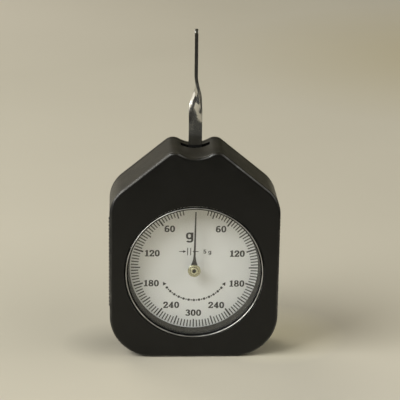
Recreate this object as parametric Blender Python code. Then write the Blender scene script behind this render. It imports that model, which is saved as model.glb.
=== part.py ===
# Dial tension gauge: a moulded case with a twisted measuring lever, which turns a pointer
# over a double scale through a toothed sector and a pinion.
# Metres, +Z up. The dial faces -Y and +X is to its right. The origin is at the middle of the
# foot of the case.

import math

import bmesh
import bpy
from mathutils import Matrix, Vector

# Clearances
seat_gap = 0.0003  # between pieces that touch
shaft_gap = 0.0001  # round a shaft in its bush or a screw in its hole
overrun = 0.002  # how far a cutter passes the face that it opens

# Case
case_width = 0.060
slope_rise = 0.0175  # from where the side and the slope would meet to the peak
peak_spread = 0.0154  # where the slopes and the scoop sides would meet
corner_radius = 0.0155
shoulder_radius = 0.012
peak_radius = 0.0025
scoop_radius = 0.011
scoop_depth = 0.0025
head_room = 0.0176  # from the bezel ring to the lowest line of the scoop
rear_room = 0.00115  # from the lever shaft to the cover
case_wall = 0.0022
front_round = 0.0015
slot_side_gap = 0.0003  # beside the lever at the ends of its swing
slot_back_gap = 0.00085  # before and behind the lever
least_round_share = 0.1  # of the peak radius, where the wall is thicker than that radius

# Grip ribs on the straight part of both sides
rib_pitch = 0.0013
rib_height = 0.0003
rib_root_depth = 0.0003
rib_foot_margin = 0.0035
rib_top_margin = 0.0018
rib_front_margin = 0.0033
rib_rear_margin = 0.0006
rib_crest_share = 0.22
rib_base_share = 0.44

# Rear cover
cover_thickness = 0.002
cover_round = 0.001
lip_wall = 0.0012
lip_depth = 0.0012

# Cover screws and their bosses
boss_radius = 0.0025
cover_screw_radius = 0.001
cover_screw_length = 0.006
cover_head_radius = 0.0022
cover_head_depth = 0.0012
screw_slot_width = 0.0005
screw_slot_depth = 0.0005

# Bezel ring, lens, gasket and the well that holds them
ring_side_margin = 0.0054  # to the side of the case
ring_foot_margin = 0.0076  # to the foot of the case
ring_width = 0.0007
ring_depth = 0.0007
ring_crown_share = 0.33  # of the width, taken by each rounded edge
lens_thickness = 0.001
gasket_thickness = 0.0004
ledge_width = 0.0012
well_taper = 0.0008  # how much the well narrows towards the dial
well_wall = 0.0011

# Dial
dial_recess = 0.006  # face of the dial behind the front of the case
dial_thickness = 0.0008
dial_seat_width = 0.0016
dial_hole_radius = 0.0014
foot_radius = 0.0008
foot_spread = 0.012
foot_drop = 0.0052
foot_length = 0.0018

# Movement plates and pillars
plate_thickness = 0.001
plate_margin = 0.001  # round pillars, screws and bushes
plate_corner = 0.001
pillar_radius = 0.002
pillar_spread = 0.022
pillar_rise = 0.003  # upper pillars above the lever shaft
pillar_drop = 0.0077  # lower pillar below the pointer axis
movement_boss_radius = 0.0024
movement_boss_margin = 0.0016  # from the well
movement_screw_angle = math.radians(28.9)  # about the dial, from straight up
small_screw_radius = 0.0008
small_head_radius = 0.0016
small_head_depth = 0.0009
small_screw_length = 0.0026

# Lever shaft and lever
lever_drop = 0.0119  # axis of the shaft below the scoop
lever_width = 0.0044
lever_thickness = 0.0009
stem_length = 0.0117  # from the scoop to the twist
twist_length = 0.0123
feeler_length = 0.019
feeler_tip_width = 0.0032
eye_radius = 0.0038
shaft_radius = 0.0016
journal_radius = 0.001
bush_wall = 0.0011
collar_radius = 0.0026
collar_depth = 0.00105
nut_radius = 0.0029  # to its corners
nut_depth = 0.0013
shaft_stub = 0.0004

# Sector and pinion
gear_ratio = 16  # turns of the pinion for each turn of the sector
pinion_teeth = 10
spare_teeth = 1  # beyond the swing, at each end of the sector
pointer_swing = math.radians(180)
pressure_angle = math.radians(25)
addendum_share = 0.8
dedendum_share = 1.15
backlash = 0.00014
sector_thickness = 0.001
sector_back_gap = 0.0006  # behind the front plate
sector_rim = 0.0024
sector_arm = 0.0022
sector_hub_radius = 0.0042
pinion_overhang = 0.0003

# Pointer
arbor_radius = 0.0006
hub_radius = 0.0023
hub_thickness = 0.0006
hub_step_radius = 0.0015
hub_step = 0.0002
needle_margin = 0.001  # from the tip to the edge of the dial that shows
needle_thickness = 0.00025
needle_root_width = 0.002
needle_neck_width = 0.0006
needle_tip_width = 0.0003
needle_neck = 0.0042
needle_eye_radius = 0.0016
lens_to_hub = 0.0003

# Springs
spring_thickness = 0.0003
spring_height = 0.0012
spring_pitch = 0.0013
spring_turns = 3.5
collet_radius = 0.003
collet_height = 0.0015
collet_back_gap = 0.0004
post_radius = 0.0007
hairspring_thickness = 0.00015
hairspring_height = 0.0006
hairspring_pitch = 0.0007
hairspring_turns = 5
hair_collet_radius = 0.0014
stud_radius = 0.0005
stud_height = 0.0011

# Stop pins
stop_radius = 0.0008
stop_place_share = 0.42  # along the side of the sector, from its hub
stop_height = 0.0018

# Numbers of sides and steps
nut_sides = 6
dial_sides = 72
round_sides = 24
small_sides = 12
screw_sides = 16
arc_steps = 8
twist_steps = 14
tip_steps = 5
flank_steps = 3
coil_steps = 16
front_segments = 3
edge_segments = 2
sharp_angle = math.radians(35)
merge_distance = 0.000001

# Depth of the movement and of the whole case
plate_space = sector_back_gap + sector_thickness + seat_gap + collet_height + collet_back_gap
movement_depth = plate_thickness + plate_space + plate_thickness
lever_depth = seat_gap + collar_depth + seat_gap + lever_thickness + seat_gap + nut_depth + shaft_stub
front_depth = dial_recess + dial_thickness + seat_gap
case_depth = front_depth + movement_depth + lever_depth + rear_room + cover_thickness

# Places along the depth, from front to back
front_y = -case_depth / 2
rear_y = case_depth / 2
split_y = rear_y - cover_thickness - seat_gap
inner_front_y = front_y + case_wall
ring_rear_y = front_y + ring_depth
lens_front_y = ring_rear_y + seat_gap
lens_rear_y = lens_front_y + lens_thickness
gasket_front_y = lens_rear_y + seat_gap
gasket_rear_y = gasket_front_y + gasket_thickness
ledge_y = gasket_rear_y + seat_gap
dial_front_y = front_y + dial_recess
dial_rear_y = dial_front_y + dial_thickness
well_rear_y = dial_front_y - seat_gap
front_plate_y = dial_rear_y + seat_gap
front_plate_rear_y = front_plate_y + plate_thickness
rear_plate_y = front_plate_rear_y + plate_space
rear_plate_rear_y = rear_plate_y + plate_thickness
sector_front_y = front_plate_rear_y + sector_back_gap
sector_rear_y = sector_front_y + sector_thickness
collar_y = rear_plate_rear_y + seat_gap
lever_front_y = collar_y + collar_depth + seat_gap
lever_rear_y = lever_front_y + lever_thickness
lever_plane = lever_front_y + lever_thickness / 2
hub_front_y = lens_rear_y + lens_to_hub
hub_rear_y = hub_front_y + hub_thickness
needle_front_y = hub_rear_y + seat_gap
needle_rear_y = needle_front_y + needle_thickness

# Radii, heights and angles that follow from others
ring_radius = case_width / 2 - ring_side_margin
dial_height = ring_foot_margin + ring_radius  # middle of the dial and axis of the pointer
scoop_height = dial_height + ring_radius + head_room  # lowest line of the scoop
peak_height = scoop_height + scoop_depth
shoulder_height = peak_height - slope_rise
lever_height = scoop_height - lever_drop  # axis of the lever shaft
twist_start = scoop_height + stem_length
twist_end = twist_start + twist_length
lever_top = twist_end + feeler_length
ring_inner_radius = ring_radius - ring_width
bore_radius = ring_radius + seat_gap
well_front_radius = bore_radius - ledge_width
well_rear_radius = well_front_radius - well_taper
well_outer_radius = bore_radius + well_wall
dial_radius = well_rear_radius + dial_seat_width
needle_length = well_rear_radius - needle_margin
shaft_hole = journal_radius + shaft_gap
shaft_bush_radius = shaft_hole + bush_wall
arbor_hole = arbor_radius + shaft_gap
arbor_bush_radius = arbor_hole + bush_wall
screw_hole = cover_screw_radius + shaft_gap
small_hole = small_screw_radius + shaft_gap
centre_distance = lever_height - dial_height
pinion_radius = centre_distance / (1 + gear_ratio)
sector_radius = centre_distance - pinion_radius
tooth_module = 2 * pinion_radius / pinion_teeth
tooth_pitch = math.tau / (pinion_teeth * gear_ratio)  # of the sector
lever_swing = pointer_swing / gear_ratio
sector_teeth = 2 * (round(lever_swing / tooth_pitch) + spare_teeth) + 1

slope_run = case_width / 2 - peak_spread / 2
slope_angle = math.atan2(slope_run, slope_rise)  # of the outward normal, from +X
side_top = shoulder_height - shoulder_radius * math.tan(slope_angle / 2)
corner_centre = (case_width / 2 - corner_radius, corner_radius)
shoulder_centre = (case_width / 2 - shoulder_radius, side_top)
scoop_centre = (0, scoop_height + scoop_radius)
rib_lowest = corner_radius + rib_foot_margin
rib_count = 1 + math.floor((side_top - rib_top_margin - rib_lowest) / rib_pitch)

pointer_axis = Vector((0, 0, dial_height))
lever_axis = Vector((0, 0, lever_height))

finishes = {
    "case_plastic": ((0.012, 0.012, 0.011), 0.45, 0.0),
    "chrome": ((0.62, 0.62, 0.60), 0.12, 1.0),
    "steel": ((0.42, 0.42, 0.41), 0.3, 1.0),
    "blued_steel": ((0.02, 0.02, 0.025), 0.4, 0.6),
    "brass": ((0.62, 0.53, 0.30), 0.3, 1.0),
    "clear_plastic": ((0.9, 0.92, 0.92), 0.05, 0.0),
    "rubber": ((0.02, 0.02, 0.02), 0.8, 0.0),
    "dial_paint": ((0.50, 0.49, 0.45), 0.5, 0.0),
    "needle_paint": ((0.01, 0.01, 0.01), 0.4, 0.0),
}


def clear_scene():
    for item in list(bpy.data.objects):
        bpy.data.objects.remove(item)


def finish(name):
    known = bpy.data.materials.get(name)
    if known:
        return known
    colour, roughness, metallic = finishes[name]
    made = bpy.data.materials.new(name)
    made.use_nodes = True
    shader = made.node_tree.nodes["Principled BSDF"]
    shader.inputs["Base Color"].default_value = (*colour, 1)
    shader.inputs["Roughness"].default_value = roughness
    shader.inputs["Metallic"].default_value = metallic
    if name == "clear_plastic":
        shader.inputs["Transmission Weight"].default_value = 1
    return made


def add_piece(name, shape, finish_name, place=(0, 0, 0), parent=None):
    bmesh.ops.remove_doubles(shape, verts=shape.verts, dist=merge_distance)
    bmesh.ops.recalc_face_normals(shape, faces=shape.faces)
    mesh = bpy.data.meshes.new(name)
    shape.to_mesh(mesh)
    shape.free()
    mesh.shade_smooth()
    mesh.set_sharp_from_angle(angle=sharp_angle)
    mesh.materials.append(finish(finish_name))
    piece = bpy.data.objects.new(name, mesh)
    bpy.context.scene.collection.objects.link(piece)
    piece.location = place
    piece.parent = parent
    return piece


def add_axis(name, place):
    axis = bpy.data.objects.new(name, None)
    bpy.context.scene.collection.objects.link(axis)
    axis.location = place
    return axis


def combine(piece, other, operation):
    # The other object is a cutter or a moulded feature, and isn't a piece of its own.
    other.hide_render = True
    other.display_type = "WIRE"
    other.parent = piece.parent
    step = piece.modifiers.new(other.name, "BOOLEAN")
    step.operation = operation
    step.solver = "EXACT"
    step.object = other


def extruded(outline, near_y, far_y):
    shape = bmesh.new()
    rim = [shape.verts.new((x, near_y, z)) for x, z in outline]
    face = shape.faces.new(rim)
    swept = bmesh.ops.extrude_face_region(shape, geom=[face])["geom"]
    moved = [part for part in swept if isinstance(part, bmesh.types.BMVert)]
    bmesh.ops.translate(shape, verts=moved, vec=(0, far_y - near_y, 0))
    return shape


def turned(profile, sides, ring=False):
    # A profile of radius and depth, turned round the Y axis.
    shape = bmesh.new()
    points = [shape.verts.new((radius, y, 0)) for radius, y in profile]
    pairs = list(zip(points, points[1:]))
    if ring:
        pairs.append((points[-1], points[0]))
    edges = [shape.edges.new(pair) for pair in pairs]
    bmesh.ops.spin(
        shape,
        geom=points + edges,
        cent=(0, 0, 0),
        axis=(0, 1, 0),
        dvec=(0, 0, 0),
        angle=math.tau,
        steps=sides,
        use_merge=True,
    )
    return shape


def rod(radius, near_y, far_y, sides=small_sides):
    return turned([(0, near_y), (radius, near_y), (radius, far_y), (0, far_y)], sides)


def tube(outer, inner, near_y, far_y, sides=small_sides):
    profile = [(outer, near_y), (outer, far_y), (inner, far_y), (inner, near_y)]
    return turned(profile, sides, ring=True)


def gathered(shapes_and_places):
    # Several separate shapes in one mesh, each moved to its place.
    whole = bmesh.new()
    for shape, (x, z) in shapes_and_places:
        bmesh.ops.translate(shape, verts=shape.verts, vec=(x, 0, z))
        bmesh.ops.recalc_face_normals(shape, faces=shape.faces)
        part = bpy.data.meshes.new("part_of_a_cutter")
        shape.to_mesh(part)
        shape.free()
        whole.from_mesh(part)
        bpy.data.meshes.remove(part)
    return whole


def arc(centre, radius, start, end, steps=arc_steps):
    turns = [start + (end - start) * step / steps for step in range(steps + 1)]
    return [(centre[0] + radius * math.cos(turn), centre[1] + radius * math.sin(turn)) for turn in turns]


def mirrored(half):
    return half + [(-x, z) for x, z in reversed(half) if x > merge_distance]


def case_outline(inset=0):
    # The outline moved inwards: round corners shrink and the scoop grows.
    outward = Vector((math.cos(slope_angle), math.sin(slope_angle)))
    along = Vector((-outward.y, outward.x))
    top_radius = max(peak_radius - inset, peak_radius * least_round_share)
    centre = Vector(scoop_centre)
    start = Vector((case_width / 2, shoulder_height)) - outward * (inset + top_radius)
    reach = scoop_radius + inset + top_radius
    middle = along.dot(start - centre)
    travel = -middle - math.sqrt(middle**2 - (start - centre).length_squared + reach**2)
    top_centre = start + along * travel
    towards = centre - top_centre
    top_end = math.atan2(towards.y, towards.x)
    half = arc(corner_centre, corner_radius - inset, -math.pi / 2, 0)
    half += arc(shoulder_centre, shoulder_radius - inset, 0, slope_angle)
    half += arc(top_centre, top_radius, slope_angle, top_end)
    half += arc(scoop_centre, scoop_radius + inset, top_end - math.pi, -math.pi / 2)
    return mirrored(half)


def cover_screw_places():
    # Each boss stands just inside the lip of the cover, in a corner or a shoulder.
    taken = case_wall + seat_gap + lip_wall + seat_gap + boss_radius
    low_reach = (corner_radius - taken) * math.sqrt(0.5)
    high_reach = shoulder_radius - taken
    low = (corner_centre[0] + low_reach, corner_centre[1] - low_reach)
    high = (
        shoulder_centre[0] + high_reach * math.cos(slope_angle / 2),
        shoulder_centre[1] + high_reach * math.sin(slope_angle / 2),
    )
    return [(side * x, z) for x, z in (low, high) for side in (-1, 1)]


def movement_screw_places():
    # Two bosses stand over the well, and the head of the third screw just clears the floor.
    reach = well_outer_radius + movement_boss_margin + movement_boss_radius
    across = reach * math.sin(movement_screw_angle)
    high = dial_height + reach * math.cos(movement_screw_angle)
    return [(-across, high), (across, high), (0, case_wall + seat_gap + small_head_radius)]


def slot_half_width():
    # The lever's edge at the top of the slot, at the end of its swing.
    height = scoop_height + scoop_depth / 2 - lever_height
    half = lever_width / 2
    reach = (height + half * math.sin(lever_swing)) / math.cos(lever_swing)
    return reach * math.sin(lever_swing) + half * math.cos(lever_swing) + slot_side_gap


def pillar_places():
    high = lever_height + pillar_rise
    spread = pillar_spread / 2
    return [(-spread, high), (spread, high), (0, dial_height - pillar_drop)]


def rounded_edges(shape, y, amount, segments):
    rim = [edge for edge in shape.edges if all(abs(end.co.y - y) < merge_distance for end in edge.verts)]
    bmesh.ops.bevel(
        shape, geom=rim, offset=amount, segments=segments, profile=0.5, affect="EDGES", material=-1
    )


def rib_comb(side):
    crest = case_width / 2 + rib_height
    root = case_width / 2 - rib_root_depth
    back = case_width / 2 - case_wall / 2
    outline = [(side * back, rib_lowest - rib_pitch)]
    for index in range(rib_count):
        middle = rib_lowest + index * rib_pitch
        for x, share in (
            (root, -rib_base_share),
            (crest, -rib_crest_share),
            (crest, rib_crest_share),
            (root, rib_base_share),
        ):
            outline.append((side * x, middle + share * rib_pitch))
    outline.append((side * back, rib_lowest + rib_count * rib_pitch))
    return extruded(outline, front_y + rib_front_margin, split_y - rib_rear_margin)


def build_front_case():
    body = extruded(case_outline(), front_y, split_y)
    rounded_edges(body, front_y, front_round, front_segments)
    case = add_piece("front_case", body, "case_plastic")
    ribs = gathered([(rib_comb(side), (0, 0)) for side in (-1, 1)])
    combine(case, add_piece("case_ribs", ribs, "case_plastic"), "UNION")
    inside = extruded(case_outline(case_wall), inner_front_y, split_y + overrun)
    combine(case, add_piece("case_inside", inside, "case_plastic"), "DIFFERENCE")
    drum = rod(well_outer_radius, inner_front_y - case_wall / 2, well_rear_y, dial_sides)
    combine(case, add_piece("well_drum", drum, "case_plastic", pointer_axis), "UNION")
    embedded_y = inner_front_y - case_wall / 2
    bosses = [(rod(boss_radius, embedded_y, split_y), place) for place in cover_screw_places()]
    plate_seat_y = front_plate_y - seat_gap
    for place in movement_screw_places():
        bosses.append((rod(movement_boss_radius, embedded_y, plate_seat_y), place))
    combine(case, add_piece("case_bosses", gathered(bosses), "case_plastic"), "UNION")
    well = turned(
        [
            (0, front_y - overrun),
            (bore_radius, front_y - overrun),
            (bore_radius, ledge_y),
            (well_front_radius, ledge_y),
            (well_rear_radius, well_rear_y),
            (dial_radius + seat_gap, well_rear_y),
            (dial_radius + seat_gap, well_rear_y + overrun),
            (0, well_rear_y + overrun),
        ],
        dial_sides,
    )
    combine(case, add_piece("case_well", well, "case_plastic", pointer_axis), "DIFFERENCE")
    bore_y = split_y - cover_screw_length
    openings = [(rod(screw_hole, bore_y, split_y + overrun), place) for place in cover_screw_places()]
    for place in movement_screw_places():
        openings.append((rod(small_hole, plate_seat_y - small_screw_length, plate_seat_y + overrun), place))
    slot_half = slot_half_width()
    slot_floor = scoop_height - case_wall - overrun
    slot_top = peak_height + overrun
    slot = extruded(
        [
            (-slot_half, slot_floor),
            (slot_half, slot_floor),
            (slot_half, slot_top),
            (-slot_half, slot_top),
        ],
        lever_front_y - slot_back_gap,
        lever_rear_y + slot_back_gap,
    )
    openings.append((slot, (0, 0)))
    combine(case, add_piece("case_openings", gathered(openings), "case_plastic"), "DIFFERENCE")


def build_rear_cover():
    plate_y = rear_y - cover_thickness
    body = extruded(case_outline(), plate_y, rear_y)
    rounded_edges(body, rear_y, cover_round, edge_segments)
    cover = add_piece("rear_cover", body, "case_plastic")
    lip_front_y = plate_y - lip_depth
    lip = extruded(case_outline(case_wall + seat_gap), lip_front_y, plate_y + cover_thickness / 2)
    combine(cover, add_piece("cover_lip", lip, "case_plastic"), "UNION")
    room = extruded(case_outline(case_wall + seat_gap + lip_wall), lip_front_y - overrun, plate_y)
    combine(cover, add_piece("cover_inside", room, "case_plastic"), "DIFFERENCE")
    head_hole = cover_head_radius + seat_gap
    holes = []
    for place in cover_screw_places():
        profile = [
            (0, plate_y - overrun),
            (screw_hole, plate_y - overrun),
            (screw_hole, rear_y - cover_head_depth),
            (head_hole, rear_y),
            (head_hole, rear_y + overrun),
            (0, rear_y + overrun),
        ]
        holes.append((turned(profile, screw_sides), place))
    combine(cover, add_piece("cover_holes", gathered(holes), "case_plastic"), "DIFFERENCE")


def slot_cutter(name, head_radius, near_y, far_y, place):
    half = screw_slot_width / 2
    reach = head_radius + overrun
    outline = [(-reach, -half), (reach, -half), (reach, half), (-reach, half)]
    return add_piece(name, extruded(outline, near_y, far_y), "steel", place)


def build_cover_screws():
    for index, (x, z) in enumerate(cover_screw_places(), start=1):
        profile = [
            (0, rear_y - cover_screw_length),
            (cover_screw_radius, rear_y - cover_screw_length),
            (cover_screw_radius, rear_y - cover_head_depth),
            (cover_head_radius, rear_y),
            (0, rear_y),
        ]
        name = f"cover_screw_{index}"
        screw = add_piece(name, turned(profile, screw_sides), "steel", (x, 0, z))
        slot = slot_cutter(
            f"{name}_slot", cover_head_radius, rear_y - screw_slot_depth, rear_y + overrun, (x, 0, z)
        )
        combine(screw, slot, "DIFFERENCE")


def build_small_screws(kind, places, seat_y):
    # Cheese-head screws driven from behind.
    head_y = seat_y + seat_gap
    rear = head_y + small_head_depth
    for index, (x, z) in enumerate(places, start=1):
        profile = [
            (0, seat_y - small_screw_length),
            (small_screw_radius, seat_y - small_screw_length),
            (small_screw_radius, head_y),
            (small_head_radius, head_y),
            (small_head_radius, rear),
            (0, rear),
        ]
        name = f"{kind}_{index}"
        screw = add_piece(name, turned(profile, small_sides), "steel", (x, 0, z))
        slot_y = rear - screw_slot_depth
        slot = slot_cutter(f"{name}_slot", small_head_radius, slot_y, rear + overrun, (x, 0, z))
        combine(screw, slot, "DIFFERENCE")


def build_window():
    crown = ring_width * ring_crown_share
    ring = turned(
        [
            (ring_radius, ring_rear_y),
            (ring_inner_radius, ring_rear_y),
            (ring_inner_radius, front_y + crown),
            (ring_inner_radius + crown, front_y),
            (ring_radius - crown, front_y),
            (ring_radius, front_y + crown),
        ],
        dial_sides,
        ring=True,
    )
    add_piece("bezel_ring", ring, "chrome", pointer_axis)
    lens = rod(ring_radius, lens_front_y, lens_rear_y, dial_sides)
    add_piece("lens", lens, "clear_plastic", pointer_axis)
    gasket = tube(ring_radius, well_front_radius, gasket_front_y, gasket_rear_y, dial_sides)
    add_piece("lens_gasket", gasket, "rubber", pointer_axis)
    dial = tube(dial_radius, dial_hole_radius, dial_front_y, dial_rear_y, dial_sides)
    add_piece("dial_plate", dial, "dial_paint", pointer_axis)
    for side, name in ((-1, "dial_foot_left"), (1, "dial_foot_right")):
        place = (side * foot_spread / 2, 0, dial_height - foot_drop)
        foot = rod(foot_radius, dial_rear_y + seat_gap, dial_rear_y + seat_gap + foot_length)
        add_piece(name, foot, "brass", place)


def rounded_plate(outline, near_y, far_y):
    shape = extruded(outline, near_y, far_y)
    sides = [edge for edge in shape.edges if abs(edge.verts[0].co.y - edge.verts[1].co.y) > merge_distance]
    bmesh.ops.bevel(
        shape,
        geom=sides,
        offset=plate_corner,
        segments=edge_segments,
        profile=0.5,
        affect="EDGES",
        material=-1,
    )
    return shape


def build_movement_plates():
    screw_x, screw_z = movement_screw_places()[1]
    screw_edge = screw_x + small_head_radius + plate_margin
    pillar_edge = pillar_spread / 2 + pillar_radius
    foot_edge = foot_spread / 2 + foot_radius + pillar_radius
    top = lever_height + pillar_rise + pillar_radius + plate_margin
    tongue = small_head_radius + plate_margin
    waist = dial_height + centre_distance / 2
    foot = dial_height - pillar_drop - pillar_radius
    front_half = [
        (tongue, case_wall + seat_gap),
        (tongue, foot - pillar_radius),
        (foot_edge, foot),
        (foot_edge, waist),
        (screw_edge, screw_z - small_head_radius - plate_margin),
        (screw_edge, screw_z + small_head_radius + plate_margin),
        (pillar_edge - plate_margin, top),
    ]
    front = add_piece(
        "front_movement_plate",
        rounded_plate(mirrored(front_half), front_plate_y, front_plate_rear_y),
        "brass",
    )
    far = front_plate_rear_y + overrun
    near = front_plate_y - overrun
    holes = [(rod(small_hole, near, far), place) for place in movement_screw_places()]
    for side in (-1, 1):
        hole = rod(foot_radius + shaft_gap, near, far)
        holes.append((hole, (side * foot_spread / 2, dial_height - foot_drop)))
    holes.append((rod(arbor_bush_radius + seat_gap, near, far, round_sides), (0, dial_height)))
    holes.append((rod(shaft_bush_radius + seat_gap, near, far, round_sides), (0, lever_height)))
    combine(front, add_piece("front_plate_holes", gathered(holes), "brass"), "DIFFERENCE")

    hair_edge = hairspring_outer_radius() + seat_gap + 2 * stud_radius + plate_margin
    rear_half = [
        (tongue, foot),
        (hair_edge, dial_height - pillar_drop / 2),
        (hair_edge, waist),
        (pillar_edge, lever_height + pillar_rise - pillar_radius),
        (pillar_edge, lever_height + pillar_rise + plate_margin),
        (pillar_edge - pillar_radius, top),
    ]
    rear = add_piece(
        "rear_movement_plate",
        rounded_plate(mirrored(rear_half), rear_plate_y, rear_plate_rear_y),
        "brass",
    )
    far = rear_plate_rear_y + overrun
    near = rear_plate_y - overrun
    holes = [(rod(small_hole, near, far), place) for place in pillar_places()]
    holes.append((rod(arbor_bush_radius + seat_gap, near, far, round_sides), (0, dial_height)))
    holes.append((rod(shaft_bush_radius + seat_gap, near, far, round_sides), (0, lever_height)))
    combine(rear, add_piece("rear_plate_holes", gathered(holes), "brass"), "DIFFERENCE")

    near = front_plate_rear_y + seat_gap
    far = rear_plate_y - seat_gap
    bottom = rear_plate_rear_y - small_screw_length - seat_gap
    for index, (x, z) in enumerate(pillar_places(), start=1):
        profile = [
            (0, near),
            (pillar_radius, near),
            (pillar_radius, far),
            (small_hole, far),
            (small_hole, bottom),
            (0, bottom),
        ]
        add_piece(f"pillar_{index}", turned(profile, small_sides), "brass", (x, 0, z))


def build_bushes():
    for where, near in (("front", front_plate_y), ("rear", rear_plate_y)):
        far = near + plate_thickness
        arbor = tube(arbor_bush_radius, arbor_hole, near, far, round_sides)
        add_piece(f"{where}_arbor_bush", arbor, "brass", pointer_axis)
        shaft = tube(shaft_bush_radius, shaft_hole, near, far, round_sides)
        add_piece(f"{where}_shaft_bush", shaft, "brass", lever_axis)


def involute(angle):
    return math.tan(angle) - angle


def tooth_outline(pitch_radius, middle):
    # One tooth of involute flanks about its middle angle, from root to root.
    tip = pitch_radius + addendum_share * tooth_module
    root = pitch_radius - dedendum_share * tooth_module
    base = pitch_radius * math.cos(pressure_angle)
    half_at_pitch = (math.pi * tooth_module / 2 - backlash / 2) / (2 * pitch_radius)
    start = max(base, root)
    radii = [start + (tip - start) * step / flank_steps for step in range(flank_steps + 1)]
    if base > root:
        radii.insert(0, root)
    side = []
    for radius in radii:
        slope = math.acos(min(1, base / radius))
        half = half_at_pitch + involute(pressure_angle) - involute(slope)
        side.append((radius, half))
    flank = [(radius, middle - half) for radius, half in side]
    flank += [(radius, middle + half) for radius, half in reversed(side)]
    return [(radius * math.sin(turn), radius * math.cos(turn)) for radius, turn in flank]


def build_pinion_arbor(parent):
    # The pinion has a gap at the top, where a tooth of the sector stands at rest.
    pitch = math.tau / pinion_teeth
    outline = []
    for index in range(pinion_teeth):
        outline += tooth_outline(pinion_radius, (index + 0.5) * pitch)
    leaves = extruded(outline, sector_front_y - pinion_overhang, sector_rear_y + pinion_overhang)
    arbor = add_piece("pointer_arbor", leaves, "steel", parent=parent)
    end_y = rear_plate_rear_y + seat_gap + hairspring_height + seat_gap
    stem = rod(arbor_radius, hub_front_y, end_y)
    combine(arbor, add_piece("arbor_stem", stem, "steel"), "UNION")


def sector_side():
    # The straight side of the sector, from the hub to the rim, to the right of the shaft.
    half_angle = sector_teeth * tooth_pitch / 2
    rim = sector_radius - dedendum_share * tooth_module - sector_rim
    far = Vector((rim * math.sin(half_angle), -rim * math.cos(half_angle)))
    lean = math.asin(sector_hub_radius / rim)
    turn = half_angle + math.pi / 2 - lean
    near = Vector((sector_hub_radius * math.sin(turn), -sector_hub_radius * math.cos(turn)))
    return near, far, half_angle, turn


def build_sector(parent):
    near, far, half_angle, turn = sector_side()
    outline = [(-far.x, far.y)]
    for index in range(sector_teeth):
        middle = (index - (sector_teeth - 1) / 2) * tooth_pitch
        outline += [(x, -z) for x, z in tooth_outline(sector_radius, middle)]
    outline.append((far.x, far.y))
    hub_end = math.tau - math.pi / 2 - turn
    outline += arc((0, 0), sector_hub_radius, turn - math.pi / 2, hub_end, 2 * arc_steps)
    plate = extruded(outline, sector_front_y, sector_rear_y)
    sector = add_piece("sector_gear", plate, "brass", parent=parent)
    # A window between two arms lightens the sector.
    outer = sector_radius - dedendum_share * tooth_module - sector_rim
    inner = sector_hub_radius + sector_arm
    outer_half = half_angle - sector_arm / outer
    window = arc((0, 0), outer, -math.pi / 2 - outer_half, -math.pi / 2 + outer_half)
    window += [(inner * math.sin(outer_half), -inner * math.cos(outer_half))]
    window += [(-inner * math.sin(outer_half), -inner * math.cos(outer_half))]
    opening = extruded(window, sector_front_y - overrun, sector_rear_y + overrun)
    bore = rod(shaft_radius + seat_gap, sector_front_y - overrun, sector_rear_y + overrun, round_sides)
    cutter = gathered([(opening, (0, 0)), (bore, (0, 0))])
    combine(sector, add_piece("sector_openings", cutter, "brass"), "DIFFERENCE")


def build_lever_shaft(parent):
    nut_front = lever_rear_y + seat_gap
    shaft_end = nut_front + nut_depth + shaft_stub
    near = front_plate_rear_y + seat_gap
    far = rear_plate_y - seat_gap
    profile = [
        (0, front_plate_y),
        (journal_radius, front_plate_y),
        (journal_radius, near),
        (shaft_radius, near),
        (shaft_radius, far),
        (journal_radius, far),
        (journal_radius, shaft_end),
        (0, shaft_end),
    ]
    add_piece("lever_shaft", turned(profile, small_sides), "steel", parent=parent)
    collar = tube(collar_radius, shaft_hole, collar_y, collar_y + collar_depth)
    add_piece("lever_collar", collar, "brass", parent=parent)
    last_corner = math.tau * (nut_sides - 1) / nut_sides
    outline = arc((0, 0), nut_radius, 0, last_corner, nut_sides - 1)
    hexagon = extruded(outline, nut_front, nut_front + nut_depth)
    nut = add_piece("lever_nut", hexagon, "steel", parent=parent)
    bore = rod(shaft_hole, nut_front - overrun, nut_front + nut_depth + overrun)
    combine(nut, add_piece("nut_bore", bore, "steel"), "DIFFERENCE")


def build_lever(parent):
    # A flat strip with a round eye. Above the stem it twists a quarter turn, the right edge
    # coming forwards, and ends as the feeler, which stands edge-on to the dial.
    half = lever_width / 2
    lean = math.asin(half / eye_radius)
    stem_top = twist_start - lever_height
    outline = arc((0, 0), eye_radius, math.pi / 2 + lean, math.tau + math.pi / 2 - lean, 2 * arc_steps)
    outline += [(half, stem_top), (-half, stem_top)]
    strip = extruded(outline, lever_front_y, lever_rear_y)
    end = max(strip.faces, key=lambda face: face.calc_center_median().z)
    centre = Vector((0, lever_plane, 0))

    def raise_end(face, rise, turn, narrowing):
        grown = bmesh.ops.extrude_discrete_faces(strip, faces=[face])["faces"][0]
        corners = list(grown.verts)
        bmesh.ops.translate(strip, verts=corners, vec=(0, 0, rise))
        around = Matrix.Translation(-centre)
        bmesh.ops.rotate(strip, verts=corners, cent=centre, matrix=Matrix.Rotation(turn, 3, "Z"))
        bmesh.ops.scale(strip, verts=corners, vec=(1, narrowing, 1), space=around)
        return grown

    strip.normal_update()
    twist_rise = (twist_end - twist_start) / twist_steps
    for _ in range(twist_steps):
        end = raise_end(end, twist_rise, -math.pi / 2 / twist_steps, 1)
    tip_radius = feeler_tip_width / 2
    blade = lever_top - tip_radius - twist_end
    end = raise_end(end, blade, 0, feeler_tip_width / lever_width)
    height = 0
    width = 1
    for step in range(1, tip_steps + 1):
        turn = math.pi / 2 * step / (tip_steps + 1)
        end = raise_end(end, tip_radius * math.sin(turn) - height, 0, math.cos(turn) / width)
        height = tip_radius * math.sin(turn)
        width = math.cos(turn)
    lever = add_piece("lever_arm", strip, "chrome", parent=parent)
    bore = rod(shaft_hole, lever_front_y - overrun, lever_rear_y + overrun)
    combine(lever, add_piece("lever_bore", bore, "chrome"), "DIFFERENCE")


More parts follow.
